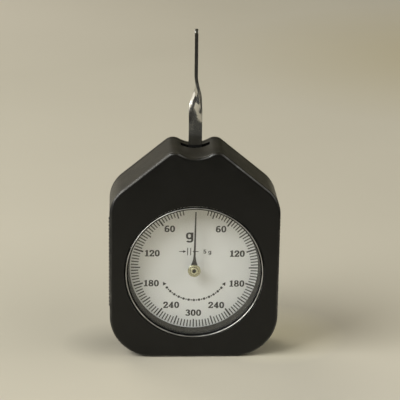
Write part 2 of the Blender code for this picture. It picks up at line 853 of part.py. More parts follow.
def build_pointer(parent):
    profile = [
        (arbor_hole, hub_rear_y),
        (arbor_hole, hub_front_y),
        (hub_step_radius, hub_front_y),
        (hub_step_radius, hub_front_y + hub_step),
        (hub_radius, hub_front_y + hub_step),
        (hub_radius, hub_rear_y),
    ]
    add_piece("pointer_hub", turned(profile, round_sides, ring=True), "brass", parent=parent)
    lean = math.asin(needle_root_width / 2 / needle_eye_radius)
    eye = arc((0, 0), needle_eye_radius, math.pi / 2 + lean, math.tau + math.pi / 2 - lean, 2 * arc_steps)
    outline = eye + [
        (needle_neck_width / 2, needle_neck),
        (needle_tip_width / 2, needle_length),
        (-needle_tip_width / 2, needle_length),
        (-needle_neck_width / 2, needle_neck),
    ]
    shape = extruded(outline, needle_front_y, needle_rear_y)
    needle = add_piece("pointer_needle", shape, "needle_paint", parent=parent)
    bore = rod(arbor_hole, needle_front_y - overrun, needle_rear_y + overrun)
    combine(needle, add_piece("needle_bore", bore, "needle_paint"), "DIFFERENCE")


def spiral(inner, pitch, turns, thickness, near_y, far_y):
    # A flat strip wound in a spiral: its outer side out, then its inner side back.
    steps = round(turns * coil_steps)
    outside = []
    inside = []
    for step in range(steps + 1):
        turn = math.tau * turns * step / steps
        radius = inner + pitch * turns * step / steps
        inside.append((radius * math.cos(turn), radius * math.sin(turn)))
        radius += thickness
        outside.append((radius * math.cos(turn), radius * math.sin(turn)))
    return extruded(outside + list(reversed(inside)), near_y, far_y)


def spring_inner_radius():
    return collet_radius + seat_gap


def spring_outer_radius():
    return spring_inner_radius() + spring_pitch * spring_turns + spring_thickness


def hairspring_inner_radius():
    return hair_collet_radius + seat_gap


def hairspring_outer_radius():
    return hairspring_inner_radius() + hairspring_pitch * hairspring_turns + hairspring_thickness


def anchor_place(axis, reach, turns):
    # Just outside the outer end of a spiral, in line with that end.
    turn = math.tau * turns
    return (axis.x + reach * math.cos(turn), 0, axis.z + reach * math.sin(turn))


def build_springs(lever_parent, pointer_parent):
    collet_front = sector_rear_y + seat_gap
    collet_rear = collet_front + collet_height
    collet = tube(collet_radius, shaft_radius + seat_gap, collet_front, collet_rear, round_sides)
    add_piece("spring_collet", collet, "brass", parent=lever_parent)
    near = collet_front + (collet_height - spring_height) / 2
    shape = spiral(
        spring_inner_radius(),
        spring_pitch,
        spring_turns,
        spring_thickness,
        near,
        near + spring_height,
    )
    add_piece("measuring_spring", shape, "blued_steel", lever_axis)
    reach = spring_outer_radius() + seat_gap + post_radius
    post = rod(post_radius, near, rear_plate_y - seat_gap)
    add_piece("spring_post", post, "steel", anchor_place(lever_axis, reach, spring_turns))

    near = rear_plate_rear_y + seat_gap
    collet = tube(hair_collet_radius, arbor_hole, near, near + hairspring_height)
    add_piece("hairspring_collet", collet, "brass", parent=pointer_parent)
    shape = spiral(
        hairspring_inner_radius(),
        hairspring_pitch,
        hairspring_turns,
        hairspring_thickness,
        near,
        near + hairspring_height,
    )
    add_piece("hairspring", shape, "blued_steel", pointer_axis)
    reach = hairspring_outer_radius() + seat_gap + stud_radius
    stud = rod(stud_radius, near, near + stud_height)
    add_piece("hairspring_stud", stud, "brass", anchor_place(pointer_axis, reach, hairspring_turns))


def build_stop_pins():
    # Each pin stands where the side of the sector arrives at the end of its swing.
    near, far, _, _ = sector_side()
    point = near.lerp(far, stop_place_share)
    along = (far - near).normalized()
    point += Vector((-along.y, along.x)) * (stop_radius + seat_gap)
    reach = point.length
    turn = math.atan2(point.x, -point.y) + lever_swing
    pin_y = front_plate_rear_y + seat_gap
    for side, name in ((-1, "stop_pin_left"), (1, "stop_pin_right")):
        place = (side * reach * math.sin(turn), 0, lever_height - reach * math.cos(turn))
        add_piece(name, rod(stop_radius, pin_y, pin_y + stop_height), "steel", place)


def main():
    clear_scene()
    build_front_case()
    build_rear_cover()
    build_cover_screws()
    build_window()
    build_movement_plates()
    build_small_screws("pillar_screw", pillar_places(), rear_plate_rear_y)
    build_small_screws("movement_screw", movement_screw_places(), front_plate_rear_y)
    build_bushes()
    build_stop_pins()
    lever_pivot = add_axis("lever_pivot", lever_axis)
    pointer_pivot = add_axis("pointer_pivot", pointer_axis)
    build_lever_shaft(lever_pivot)
    build_sector(lever_pivot)
    build_lever(lever_pivot)
    build_pinion_arbor(pointer_pivot)
    build_pointer(pointer_pivot)
    build_springs(lever_pivot, pointer_pivot)


main()
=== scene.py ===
# Looks of the dial tension gauge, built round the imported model.
# Metres, +Z up, the dial faces -Y. The origin is under the middle of the case.
import math

import bmesh
import bpy
from mathutils import Matrix, Vector


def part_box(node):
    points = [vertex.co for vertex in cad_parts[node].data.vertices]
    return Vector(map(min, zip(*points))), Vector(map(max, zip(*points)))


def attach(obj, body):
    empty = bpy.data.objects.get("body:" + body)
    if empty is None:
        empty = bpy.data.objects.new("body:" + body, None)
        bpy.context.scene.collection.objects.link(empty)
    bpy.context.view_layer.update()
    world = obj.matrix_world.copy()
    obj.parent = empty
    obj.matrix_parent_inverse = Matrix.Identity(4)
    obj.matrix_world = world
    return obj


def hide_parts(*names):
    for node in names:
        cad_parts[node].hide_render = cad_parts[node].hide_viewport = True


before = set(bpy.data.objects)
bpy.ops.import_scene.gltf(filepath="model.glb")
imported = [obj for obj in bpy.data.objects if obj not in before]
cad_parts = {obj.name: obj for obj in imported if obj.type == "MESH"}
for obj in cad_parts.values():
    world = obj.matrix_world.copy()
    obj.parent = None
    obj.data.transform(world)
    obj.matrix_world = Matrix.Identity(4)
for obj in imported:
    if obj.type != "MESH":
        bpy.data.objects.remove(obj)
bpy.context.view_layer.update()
print("frame loaded,", len(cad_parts), "nodes")

weld = 0.000001
sharpAngle = math.radians(32)

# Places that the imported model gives
coverLow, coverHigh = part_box("rear_cover")
ringLow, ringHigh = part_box("bezel_ring")
lensLow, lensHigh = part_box("lens")
sealLow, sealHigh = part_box("lens_gasket")
dialLow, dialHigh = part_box("dial_plate")
hubLow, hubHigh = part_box("pointer_hub")
needleLow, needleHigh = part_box("pointer_needle")
shaftLow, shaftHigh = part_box("lever_shaft")
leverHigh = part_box("lever_arm")[1]
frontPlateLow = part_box("front_movement_plate")[0]
frontY = ringLow.y
rearY = coverHigh.y
halfWidth = coverHigh.x
dialCentre = Vector((0, 0, (ringLow.z + ringHigh.z) / 2))
leverAxis = Vector((0, 0, (shaftLow.z + shaftHigh.z) / 2))


def middleOf(node):
    low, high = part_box(node)
    return (low + high) / 2


# Tools for meshes

def arcPoints(centre, radius, start, end, steps):
    turns = [start + (end - start) * step / steps for step in range(steps + 1)]
    return [(centre[0] + radius * math.cos(turn), centre[1] + radius * math.sin(turn)) for turn in turns]


def boxPoints(left, right, low, high):
    return [(left, low), (right, low), (right, high), (left, high)]


def mirrored(half):
    return [(-x, z) for x, z in reversed(half) if x > weld]


def moveBy(shape, vec, verts=None):
    bmesh.ops.translate(shape, verts=verts or shape.verts, vec=vec)


def turnBy(shape, turn, axis, verts=None, centre=(0, 0, 0)):
    matrix = Matrix.Rotation(turn, 3, axis)
    bmesh.ops.rotate(shape, verts=verts or shape.verts, cent=centre, matrix=matrix)


def pullOut(shape, faces, vec):
    pulled = bmesh.ops.extrude_face_region(shape, geom=faces)["geom"]
    moveBy(shape, vec, [part for part in pulled if isinstance(part, bmesh.types.BMVert)])
    return shape


def roundEdges(shape, edges, amount, steps):
    bmesh.ops.bevel(shape, geom=edges, offset=amount, segments=steps, profile=0.5, affect="EDGES", material=-1)


def cutAcross(shape, place, normal):
    everything = shape.verts[:] + shape.edges[:] + shape.faces[:]
    bmesh.ops.bisect_plane(shape, geom=everything, plane_co=place, plane_no=normal)


def prism(outline, nearY, farY):
    # A flat outline in X and Z, pulled back along Y.
    shape = bmesh.new()
    face = shape.faces.new([shape.verts.new((x, nearY, z)) for x, z in outline])
    return pullOut(shape, [face], (0, farY - nearY, 0))


def turned(profile, sides, centre, ring=False):
    # A profile of radius and depth, spun round an axis along Y.
    shape = bmesh.new()
    points = [shape.verts.new((radius, y, 0)) for radius, y in profile]
    pairs = list(zip(points, points[1:])) + ([(points[-1], points[0])] if ring else [])
    edges = [shape.edges.new(pair) for pair in pairs]
    bmesh.ops.spin(
        shape, geom=points + edges, cent=(0, 0, 0), axis=(0, 1, 0), dvec=(0, 0, 0),
        angle=math.tau, steps=sides, use_merge=True,
    )
    moveBy(shape, (centre[0], 0, centre[-1]))
    return shape


def rod(radius, nearY, farY, centre, sides):
    return turned(boxPoints(0, radius, nearY, farY), sides, centre)


def roundedProfile(corners, radius, steps):
    # A closed profile whose corners are all rounded by the same radius.
    points = []
    for index, corner in enumerate(corners):
        here = Vector(corner)
        before = (Vector(corners[index - 1]) - here).normalized()
        after = (Vector(corners[(index + 1) % len(corners)]) - here).normalized()
        start, end = here + before * radius, here + after * radius
        for step in range(steps + 1):
            share = step / steps
            bent = start.lerp(here, share).lerp(here.lerp(end, share), share)
            points.append(tuple(bent))
    return points


def gathered(shapes):
    whole = bmesh.new()
    for shape in shapes:
        bmesh.ops.recalc_face_normals(shape, faces=shape.faces)
        part = bpy.data.meshes.new("part")
        shape.to_mesh(part)
        shape.free()
        whole.from_mesh(part)
        bpy.data.meshes.remove(part)
    return whole


def placed(name, data):
    made = bpy.data.objects.new(name, data)
    bpy.context.scene.collection.objects.link(made)
    return made


def looseObject(name, shape):
    bmesh.ops.remove_doubles(shape, verts=shape.verts, dist=weld)
    bmesh.ops.recalc_face_normals(shape, faces=shape.faces)
    mesh = bpy.data.meshes.new(name)
    shape.to_mesh(mesh)
    shape.free()
    return placed(name, mesh)


def combine(piece, shape, operation):
    # One exact Boolean, applied at once, so that no tool stays in the scene.
    tool = looseObject("tool", shape)
    step = piece.modifiers.new("step", "BOOLEAN")
    step.operation = operation
    step.solver = "EXACT"
    step.object = tool
    graph = bpy.context.evaluated_depsgraph_get()
    piece.data = bpy.data.meshes.new_from_object(piece.evaluated_get(graph))
    piece.modifiers.clear()
    bpy.data.objects.remove(tool)


def finishPiece(piece, body, materials, replaced=(), evenNormals=True):
    # Smooth faces with sharp edges kept, then the finish, the body and the node that it stands for.
    piece.data.shade_smooth()
    piece.data.set_sharp_from_angle(angle=sharpAngle)
    for material in materials:
        piece.data.materials.append(material)
    if evenNormals:
        even = piece.modifiers.new("evenNormals", "WEIGHTED_NORMAL")
        even.keep_sharp = True
    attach(piece, body)
    if replaced:
        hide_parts(*replaced)


# Tools for materials

def feedAll(tree, node, feeds):
    for key, value in feeds.items():
        if isinstance(value, bpy.types.NodeSocket):
            tree.links.new(value, node.inputs[key])
        else:
            node.inputs[key].default_value = value
    return node.outputs


def addNode(tree, kind, feeds, **settings):
    made = tree.nodes.new(kind)
    for name, value in settings.items():
        setattr(made, name, value)
    return feedAll(tree, made, feeds)


def newGroup(name, inputs, results):
    # Inputs after the vector, with their first values. Every result is a plain value.
    group = bpy.data.node_groups.new(name, "ShaderNodeTree")
    for label, value in {"Vector": (0, 0, 0), **inputs}.items():
        kind = "NodeSocketVector" if isinstance(value, tuple) else "NodeSocketFloat"
        group.interface.new_socket(label, in_out="INPUT", socket_type=kind).default_value = value
    for label in results:
        group.interface.new_socket(label, in_out="OUTPUT", socket_type="NodeSocketFloat")
    return group, group.nodes.new("NodeGroupInput").outputs, group.nodes.new("NodeGroupOutput")


def noiseOf(tree, vector, scale, detail=2.0, roughness=0.5):
    feeds = {"Vector": vector, "Scale": scale, "Detail": detail, "Roughness": roughness}
    return addNode(tree, "ShaderNodeTexNoise", feeds)["Fac"]


def mathOf(tree, operation, *values):
    return addNode(tree, "ShaderNodeMath", dict(enumerate(values)), operation=operation)[0]


def timesOf(tree, first, *others):
    for other in others:
        first = mathOf(tree, "MULTIPLY", first, other)
    return first


def vectorOf(tree, operation, *values):
    return addNode(tree, "ShaderNodeVectorMath", dict(enumerate(values)), operation=operation)


def spreadOf(tree, value, low, high, newLow=0.0, newHigh=1.0):
    feeds = {"Value": value, "From Min": low, "From Max": high, "To Min": newLow, "To Max": newHigh}
    return addNode(tree, "ShaderNodeMapRange", feeds)[0]


def mixOf(tree, share, first, second):
    tones = [tone if isinstance(tone, bpy.types.NodeSocket) else (*tone, 1) for tone in (first, second)]
    return addNode(tree, "ShaderNodeMix", {0: share, 6: tones[0], 7: tones[1]}, data_type="RGBA")[2]


def cloudOf(tree, vector, noise, span):
    return spreadOf(tree, noiseOf(tree, vector, *noise), *span)


def partOf(tree, vector, axis):
    return addNode(tree, "ShaderNodeSeparateXYZ", {0: vector})[axis]


def normalPart(tree, axis):
    return partOf(tree, addNode(tree, "ShaderNodeTexCoord", {})["Normal"], axis)


noiseForm = {
    # Detail and roughness of the fine noise and of the broad one, the broad one's scale, and the range that is kept.
    "grain": dict(fine=(3.0, 0.6), broad=(4.0, 0.6), broadShare=0.045, span=(0.3, 0.7)),
    "scratch": dict(fine=(4.0, 0.7), broad=(2.0, 0.5), broadShare=0.12, span=(0.35, 0.65)),
    "turning": dict(fine=(2.0, 0.6), broad=(2.0, 0.5), broadShare=0.15, span=(0.3, 0.7)),
}
rimForm = dict(rising=(0.12, 0.5), falling=(0.8, 0.98), noise=(5.0, 0.65), patches=(0.38, 0.68))
dustForm = dict(
    facing=(0.15, 0.95), specks=(2600.0, 2.0, 0.7), specksSpan=(0.4, 0.75), drifts=(120.0, 3.0, 0.5),
    driftsSpan=(0.3, 0.7, 0.35, 1.0), ground=0.5,
)


def twoNoises(group, vector, scale, end, results, form):
    # The fine noise goes to the first result, the broad one to the second.
    scales = (scale, timesOf(group, scale, form["broadShare"]))
    for result, size, kind in zip(results, scales, ("fine", "broad")):
        feedAll(group, end, {result: cloudOf(group, vector, (size, *form[kind]), form["span"])})
    return group


def buildGrainGroup():
    # Fine moulded grain, and the broad mottle that goes with it.
    results = ("Height", "Mottle")
    group, given, end = newGroup("mouldedGrain", {"Scale": 3000.0}, results)
    return twoNoises(group, given["Vector"], given["Scale"], end, results, noiseForm["grain"])


def buildRimGroup():
    # Where a rounded rim turns from the front or back to the sides, handling polishes it.
    group, given, end = newGroup("rimRub", {"Patch Scale": 300.0}, ["Mask"])
    facing = mathOf(group, "ABSOLUTE", normalPart(group, "Y"))
    rising = spreadOf(group, facing, *rimForm["rising"])
    falling = spreadOf(group, facing, *rimForm["falling"], 1.0, 0.0)
    patches = cloudOf(group, given["Vector"], (given["Patch Scale"], *rimForm["noise"]), rimForm["patches"])
    feedAll(group, end, {"Mask": timesOf(group, rising, falling, patches)})
    return group


def buildDustGroup():
    # Dust settles on what faces up, unevenly.
    group, given, end = newGroup("settledDust", {"Amount": 0.5}, ["Mask"])
    facing = spreadOf(group, normalPart(group, "Z"), *dustForm["facing"])
    specks = cloudOf(group, given["Vector"], dustForm["specks"], dustForm["specksSpan"])
    drifts = cloudOf(group, given["Vector"], dustForm["drifts"], dustForm["driftsSpan"])
    spread = timesOf(group, mathOf(group, "ADD", specks, dustForm["ground"]), drifts)
    feedAll(group, end, {"Mask": timesOf(group, facing, spread, given["Amount"])})
    return group


def buildScratchGroup():
    # Fine scratches, drawn out along the axis whose stretch is smallest.
    results = ("Height", "Streak")
    group, given, end = newGroup("fineScratches", {"Stretch": (1, 1, 1), "Scale": 1500.0}, results)
    drawn = vectorOf(group, "MULTIPLY", given["Vector"], given["Stretch"])[0]
    return twoNoises(group, drawn, given["Scale"], end, results, noiseForm["scratch"])


def buildTurningGroup():
    # Rings left by a lathe round the Y axis of the vector that comes in.
    results = ("Height", "Streak")
    group, given, end = newGroup("turningMarks", {"Rings": 9000.0}, results)
    flat = vectorOf(group, "MULTIPLY", given["Vector"], (1, 0, 1))[0]
    reach = vectorOf(group, "LENGTH", flat)["Value"]
    depth = partOf(group, given["Vector"], "Y")
    along = addNode(group, "ShaderNodeCombineXYZ", {"X": reach, "Y": depth})[0]
    return twoNoises(group, along, given["Rings"], end, results, noiseForm["turning"])


grainGroup = buildGrainGroup()
rimGroup = buildRimGroup()
dustGroup = buildDustGroup()
scratchGroup = buildScratchGroup()
turningGroup = buildTurningGroup()


def newMaterial(name):
    # A material with its Principled shader and the piece's own coordinates.
    made = bpy.data.materials.new(name)
    made.use_nodes = True
    tree = made.node_tree
    return made, tree, tree.nodes["Principled BSDF"], addNode(tree, "ShaderNodeTexCoord", {})["Object"]


def useGroup(tree, group, **feeds):
    labelled = {name.replace("_", " "): value for name, value in feeds.items()}
    return addNode(tree, "ShaderNodeGroup", labelled, node_tree=group)


def bumpInto(tree, shader, height, strength, distance):
    feeds = {"Height": height, "Strength": strength, "Distance": distance}
    feedAll(tree, shader, {"Normal": addNode(tree, "ShaderNodeBump", feeds)[0]})


def tonesInto(tree, shader, look, tone, shine, metallic=0.0):
    # Colour from deep to light, roughness from smooth to rough.
    feedAll(tree, shader, {
        "Base Color": mixOf(tree, tone, look["deep"], look["light"]),
        "Roughness": spreadOf(tree, shine, 0.0, 1.0, look["smooth"], look["rough"]),
        "Metallic": metallic,
    })


def plasticMaterial(name, look):
    made, tree, shader, vector = newMaterial(name)
    grain = useGroup(tree, grainGroup, Vector=vector, Scale=look["grainScale"])
    rub = useGroup(tree, rimGroup, Vector=vector, Patch_Scale=look["patchScale"])["Mask"]
    dust = useGroup(tree, dustGroup, Vector=vector, Amount=look["dust"])["Mask"]
    ground = mixOf(tree, grain["Mottle"], look["deep"], look["light"])
    rubbed = mixOf(tree, timesOf(tree, rub, look["rub"]), ground, look["rubColour"])
    plain = spreadOf(tree, grain["Mottle"], 0.0, 1.0, look["smooth"], look["rough"])
    feedAll(tree, shader, {
        "Base Color": mixOf(tree, dust, rubbed, look["dustColour"]),
        "Roughness": mathOf(tree, "SUBTRACT", plain, timesOf(tree, rub, look["rubShine"])),
        "Specular IOR Level": look["gloss"],
    })
    bumpInto(tree, shader, grain["Height"], look["bump"], look["grainDepth"])
    if look["rubCoat"]:
        feedAll(tree, shader, {
            "Coat Weight": timesOf(tree, rub, look["rubCoat"]),
            "Coat Roughness": look["coatRough"],
            "Coat IOR": look["coatIndex"],
        })
    return made


caseLook = dict(
    gloss=0.34,
    deep=(0.0029, 0.0029, 0.0026), light=(0.0052, 0.0052, 0.0046), rubColour=(0.05, 0.05, 0.047),
    dustColour=(0.20, 0.165, 0.11), grainScale=3200.0, patchScale=260.0, dust=0.16, rub=0.25,
    smooth=0.31, rough=0.39, rubShine=0.10, bump=0.35, grainDepth=0.00004, rubCoat=1.0, coatRough=0.12,
    coatIndex=1.65,
)
# The well's walls take a lighter copy of the case plastic: painted light from the white dial.
wellPaintedLightLook = dict(
    gloss=0.24,
    deep=(0.0085, 0.0085, 0.0072), light=(0.0140, 0.0140, 0.0118), rubColour=(0.06, 0.06, 0.055),
    dustColour=(0.18, 0.165, 0.13), grainScale=4200.0, patchScale=300.0, dust=0.05, rub=0.0,
    smooth=0.36, rough=0.48, rubShine=0.0, bump=0.25, grainDepth=0.00003, rubCoat=0.0,
)
sealLook = dict(
    gloss=0.4,
    deep=(0.012, 0.012, 0.011), light=(0.020, 0.020, 0.018), rubColour=(0.05, 0.05, 0.05),
    dustColour=(0.12, 0.11, 0.09), grainScale=5000.0, patchScale=300.0, dust=0.05, rub=0.0,
    smooth=0.62, rough=0.75, rubShine=0.0, bump=0.3, grainDepth=0.00002, rubCoat=0.0,
)
casePlastic = plasticMaterial("casePlastic", caseLook)
wellPaintedLightPlastic = plasticMaterial("wellPaintedLightPlastic", wellPaintedLightLook)
sealRubber = plasticMaterial("sealRubber", sealLook)


def metalMaterial(name, look):
    # Plated or brushed metal with fine scratches. Plating is a little wavy too.
    made, tree, shader, vector = newMaterial(name)
    marks = useGroup(tree, scratchGroup, Vector=vector, Stretch=look["stretch"], Scale=look["scratchScale"])
    tonesInto(tree, shader, look, marks["Streak"], marks["Streak"], look["metallic"])
    height = marks["Height"]
    if "waveScale" in look:
        waves = noiseOf(tree, vector, look["waveScale"], *waveNoise)
        height = mathOf(tree, "ADD", waves, timesOf(tree, height, look["scratchShare"]))
    bumpInto(tree, shader, height, look["bump"], look["depth"])
    return made


waveNoise = (2.0, 0.45)
leverLook = dict(
    deep=(0.44, 0.432, 0.405), light=(0.60, 0.592, 0.56), stretch=(1.0, 1.0, 0.12), scratchScale=2600.0,
    smooth=0.08, rough=0.19, waveScale=520.0, scratchShare=0.05, bump=0.55, depth=0.00008, metallic=0.975,
)
ringLook = dict(
    deep=(0.42, 0.42, 0.40), light=(0.60, 0.60, 0.58), stretch=(1.0, 1.0, 1.0), scratchScale=2200.0,
    smooth=0.32, rough=0.44, waveScale=900.0, scratchShare=0.1, bump=0.2, depth=0.00002, metallic=1.0,
)
# A dark copy of the ring chrome: painted shade on the ring's low faces.
recessShadeLook = dict(ringLook, deep=(0.007, 0.007, 0.0065), light=(0.016, 0.016, 0.015), smooth=0.35, rough=0.5)
brassLook = dict(
    deep=(0.46, 0.34, 0.15), light=(0.66, 0.52, 0.26), stretch=(0.08, 1.0, 1.0), scratchScale=3000.0,
    metallic=1.0, smooth=0.22, rough=0.36, bump=0.2, depth=0.00002,
)
bluedLook = dict(
    deep=(0.018, 0.024, 0.055), light=(0.05, 0.07, 0.15), stretch=(1.0, 0.15, 1.0), scratchScale=2400.0,
    metallic=0.85, smooth=0.22, rough=0.34, bump=0.15, depth=0.00001,
)
steelLook = dict(
    deep=(0.34, 0.34, 0.33), light=(0.52, 0.52, 0.50), stretch=(1.0, 0.1, 1.0), scratchScale=3000.0,
    metallic=1.0, smooth=0.2, rough=0.34, bump=0.2, depth=0.00001,
)
leverChrome = metalMaterial("leverChrome", leverLook)
ringChrome = metalMaterial("ringChrome", ringLook)
ringPaintedShade = metalMaterial("ringPaintedShade", recessShadeLook)  # painted shade on the low faces beside the bright bead
brassSheet = metalMaterial("brassSheet", brassLook)
bluedSpring = metalMaterial("bluedSpring", bluedLook)
groundSteel = metalMaterial("groundSteel", steelLook)

turnedTones = {
    "brass": dict(deep=(0.48, 0.36, 0.17), light=(0.68, 0.54, 0.28), smooth=0.18, rough=0.34, rings=9000.0),
    "paleBrass": dict(deep=(0.44, 0.42, 0.28), light=(0.66, 0.64, 0.47), smooth=0.2, rough=0.3, rings=6000.0),
    "steel": dict(deep=(0.30, 0.30, 0.29), light=(0.50, 0.50, 0.48), smooth=0.18, rough=0.36, rings=8000.0),
    "darkSteel": dict(deep=(0.020, 0.019, 0.018), light=(0.05, 0.048, 0.045), smooth=0.3, rough=0.5, rings=8000.0),
}
turnedBump = (0.3, 0.00001)  # strength and depth


def turnedMaterial(name, toneName, centre):
    # Metal from the lathe, with its rings round the piece's own axis.
    tone = turnedTones[toneName]
    made, tree, shader, vector = newMaterial(name)
    own = addNode(tree, "ShaderNodeMapping", {"Vector": vector, "Location": (-centre[0], 0, -centre[-1])})[0]
    marks = useGroup(tree, turningGroup, Vector=own, Rings=tone["rings"])
    tonesInto(tree, shader, tone, marks["Streak"], marks["Streak"], 1.0)
    bumpInto(tree, shader, marks["Height"], *turnedBump)
    return made


def enamelMaterial(name, look):
    # Dial paint and printing ink: an even coat with a fine tooth and a little age.
    made, tree, shader, vector = newMaterial(name)
    grain = useGroup(tree, grainGroup, Vector=vector, Scale=look["grainScale"])
    tonesInto(tree, shader, look, grain["Mottle"], grain["Height"])
    bumpInto(tree, shader, grain["Height"], look["bump"], look["grainDepth"])
    return made


dialLook = dict(
    deep=(0.88, 0.88, 0.87), light=(0.92, 0.92, 0.91), grainScale=3800.0, smooth=0.42, rough=0.55,
    bump=0.12, grainDepth=0.00001,
)
inkLook = dict(
    deep=(0.006, 0.006, 0.006), light=(0.013, 0.012, 0.012), grainScale=6000.0, smooth=0.45, rough=0.6,
    bump=0.1, grainDepth=0.000005,
)
needleLook = dict(
    deep=(0.006, 0.005, 0.005), light=(0.012, 0.010, 0.010), grainScale=5000.0, smooth=0.3, rough=0.42,
    bump=0.15, grainDepth=0.00001,
)
dialPaint = enamelMaterial("dialPaint", dialLook)
dialInk = enamelMaterial("dialInk", inkLook)
needlePaint = enamelMaterial("needlePaint", needleLook)

windowLook = dict(
    tint=(0.975, 0.985, 0.98), index=1.49, smooth=0.015, rough=0.05, scratchScale=900.0, stretch=(1.0, 1.0, 0.6),
)


def buildWindowMaterial():
    # Clear acrylic. Shadow and diffuse rays pass straight through, so that the dial stays lit.
    look = windowLook
    made, tree, shader, vector = newMaterial("windowAcrylic")
    marks = useGroup(tree, scratchGroup, Vector=vector, Stretch=look["stretch"], Scale=look["scratchScale"])
    feedAll(tree, shader, {
        "Base Color": (*look["tint"], 1),
        "Transmission Weight": 1.0,
        "IOR": look["index"],
        "Roughness": spreadOf(tree, marks["Streak"], 0.0, 1.0, look["smooth"], look["rough"]),
    })
    path = addNode(tree, "ShaderNodeLightPath", {})
    passing = mathOf(tree, "MAXIMUM", path["Is Shadow Ray"], path["Is Diffuse Ray"])
    clear = addNode(tree, "ShaderNodeBsdfTransparent", {})[0]
    mixed = addNode(tree, "ShaderNodeMixShader", {0: passing, 1: shader.outputs[0], 2: clear})[0]
    feedAll(tree, tree.nodes["Material Output"], {"Surface": mixed})
    return made


windowAcrylic = buildWindowMaterial()
print("materials made,", len(bpy.data.materials))


# The moulded case: front shell and rear cover share one outline

caseForm = dict(
    peakHeight=0.0771, peakSpread=0.0164, slopeRise=0.0178, cornerRadius=0.0155, shoulderRadius=0.012,
    peakRadius=0.0040, leastPeak=0.0004, scoopHeight=0.0746, scoopRadius=0.011, wall=0.0022, frontRound=0.0012,
    rearRound=0.0004, seam=0.0003, lipDepth=0.0012, arcSteps=24, rimSteps=6, overrun=0.002,
)
gripForm = dict(
    pitch=0.0013, count=26, lowest=0.019, height=0.0003, rootDepth=0.0004, crestShare=0.16, crestSwell=1.6,
    baseShare=0.40, crestSteps=4, frontMargin=0.0033, rearMargin=0.0006, bedDepth=0.0005,
    drops=((0.09, 0.0), (0.14, 0.6), (1.0, 0.72)),  # places along a rib and how far it has fallen there
)
wellForm = dict(drumRadius=0.026, frontRadius=0.0237, rearRadius=0.0229, gap=0.0003, sides=192)
bossForm = dict(coverRadius=0.0025, movementRadius=0.0024, sides=32)
slotForm = dict(centre=0.0003, halfWidth=0.00516, frontMargin=0.0019, rearMargin=0.0004)
strapForm = dict(thickness=0.0009, bladeDepth=0.0044)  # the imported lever's strip, flat and edge on

strapRearY = leverHigh.y - (strapForm["bladeDepth"] - strapForm["thickness"]) / 2
strapFrontY = strapRearY - strapForm["thickness"]
plateY = coverLow.y + caseForm["lipDepth"]  # where the cover's plate starts
splitY = plateY - caseForm["seam"]  # where the shell ends, a seam before the cover
coverScrews = [f"cover_screw_{number}" for number in range(1, 5)]
movementScrews = [f"movement_screw_{number}" for number in range(1, 4)]


def caseOutline(inset=0.0):
    form = caseForm
    steps = form["arcSteps"]
    slope = math.atan2(halfWidth - form["peakSpread"] / 2, form["slopeRise"])
    shoulderHeight = form["peakHeight"] - form["slopeRise"]
    shoulderRadius = form["shoulderRadius"]
    corner = (halfWidth - form["cornerRadius"], form["cornerRadius"])
    shoulder = (halfWidth - shoulderRadius, shoulderHeight - shoulderRadius * math.tan(slope / 2))
    scoop = Vector((0, form["scoopHeight"] + form["scoopRadius"]))
    outward = Vector((math.cos(slope), math.sin(slope)))
    along = Vector((-outward.y, outward.x))
    topRadius = max(form["peakRadius"] - inset, form["leastPeak"])
    start = Vector((halfWidth, shoulderHeight)) - outward * (inset + topRadius)
    reach = form["scoopRadius"] + inset + topRadius
    middle = along.dot(start - scoop)
    travel = -middle - math.sqrt(middle**2 - (start - scoop).length_squared + reach**2)
    peak = start + along * travel
    towards = scoop - peak
    peakEnd = math.atan2(towards.y, towards.x)
    half = arcPoints(corner, form["cornerRadius"] - inset, -math.pi / 2, 0, steps)
    half += arcPoints(shoulder, shoulderRadius - inset, 0, slope, steps)
    half += arcPoints(peak, topRadius, slope, peakEnd, steps)
    half += arcPoints(scoop, form["scoopRadius"] + inset, peakEnd - math.pi, -math.pi / 2, steps)[1:]
    return half + mirrored(half)


def roundRim(shape, y, amount):
    rim = [edge for edge in shape.edges if all(abs(end.co.y - y) < weld for end in edge.verts)]
    roundEdges(shape, rim, amount, caseForm["rimSteps"])


def bothSides(maker):
    return gathered([maker(-1), maker(1)])


def gripBed(side):
    # The ribs stand in a shallow bed that runs on to the back.
    form = gripForm
    low = form["lowest"] - form["baseShare"] * form["pitch"]
    high = form["lowest"] + (form["count"] - 1 + form["baseShare"]) * form["pitch"]
    corners = boxPoints(side * (halfWidth - form["bedDepth"]), side * (halfWidth + caseForm["overrun"]), low, high)
    return prism(corners, frontY + form["frontMargin"] + weld, rearY + caseForm["overrun"])


def gripComb(side):
    # One side's ribs, each with a rounded crest, on a strip that sinks into the wall.
    form = gripForm
    pitch = form["pitch"]
    root, back = side * (halfWidth - form["rootDepth"]), side * (halfWidth - caseForm["wall"] / 2)
    base, crest = form["baseShare"] * pitch, form["crestShare"] * pitch * form["crestSwell"]
    deep = (form["height"] + form["rootDepth"]) / 2
    outline = [(back, form["lowest"] - pitch)]
    for index in range(form["count"]):
        middle = form["lowest"] + index * pitch
        outline.append((root, middle - base))
        for step in range(form["crestSteps"] + 1):
            turn = math.pi * (step / form["crestSteps"] - 0.5)
            x = halfWidth + form["height"] - deep + deep * math.cos(turn)
            outline.append((side * x, middle + crest * math.sin(turn)))
        outline.append((root, middle + base))
    outline.append((back, form["lowest"] + form["count"] * pitch))
    nearY, farY = frontY + form["frontMargin"], splitY - form["rearMargin"]
    comb = prism(outline, nearY, farY)
    for share, drop in form["drops"]:
        cutY = nearY + (farY - nearY) * share
        if share < 1:
            cutAcross(comb, (0, cutY, 0), (0, 1, 0))
        for vert in comb.verts:
            rise = abs(vert.co.x) - abs(root)
            if abs(vert.co.y - cutY) < weld and rise > 0:
                vert.co.x -= side * rise * drop  # a rib falls away behind its front end
    return comb


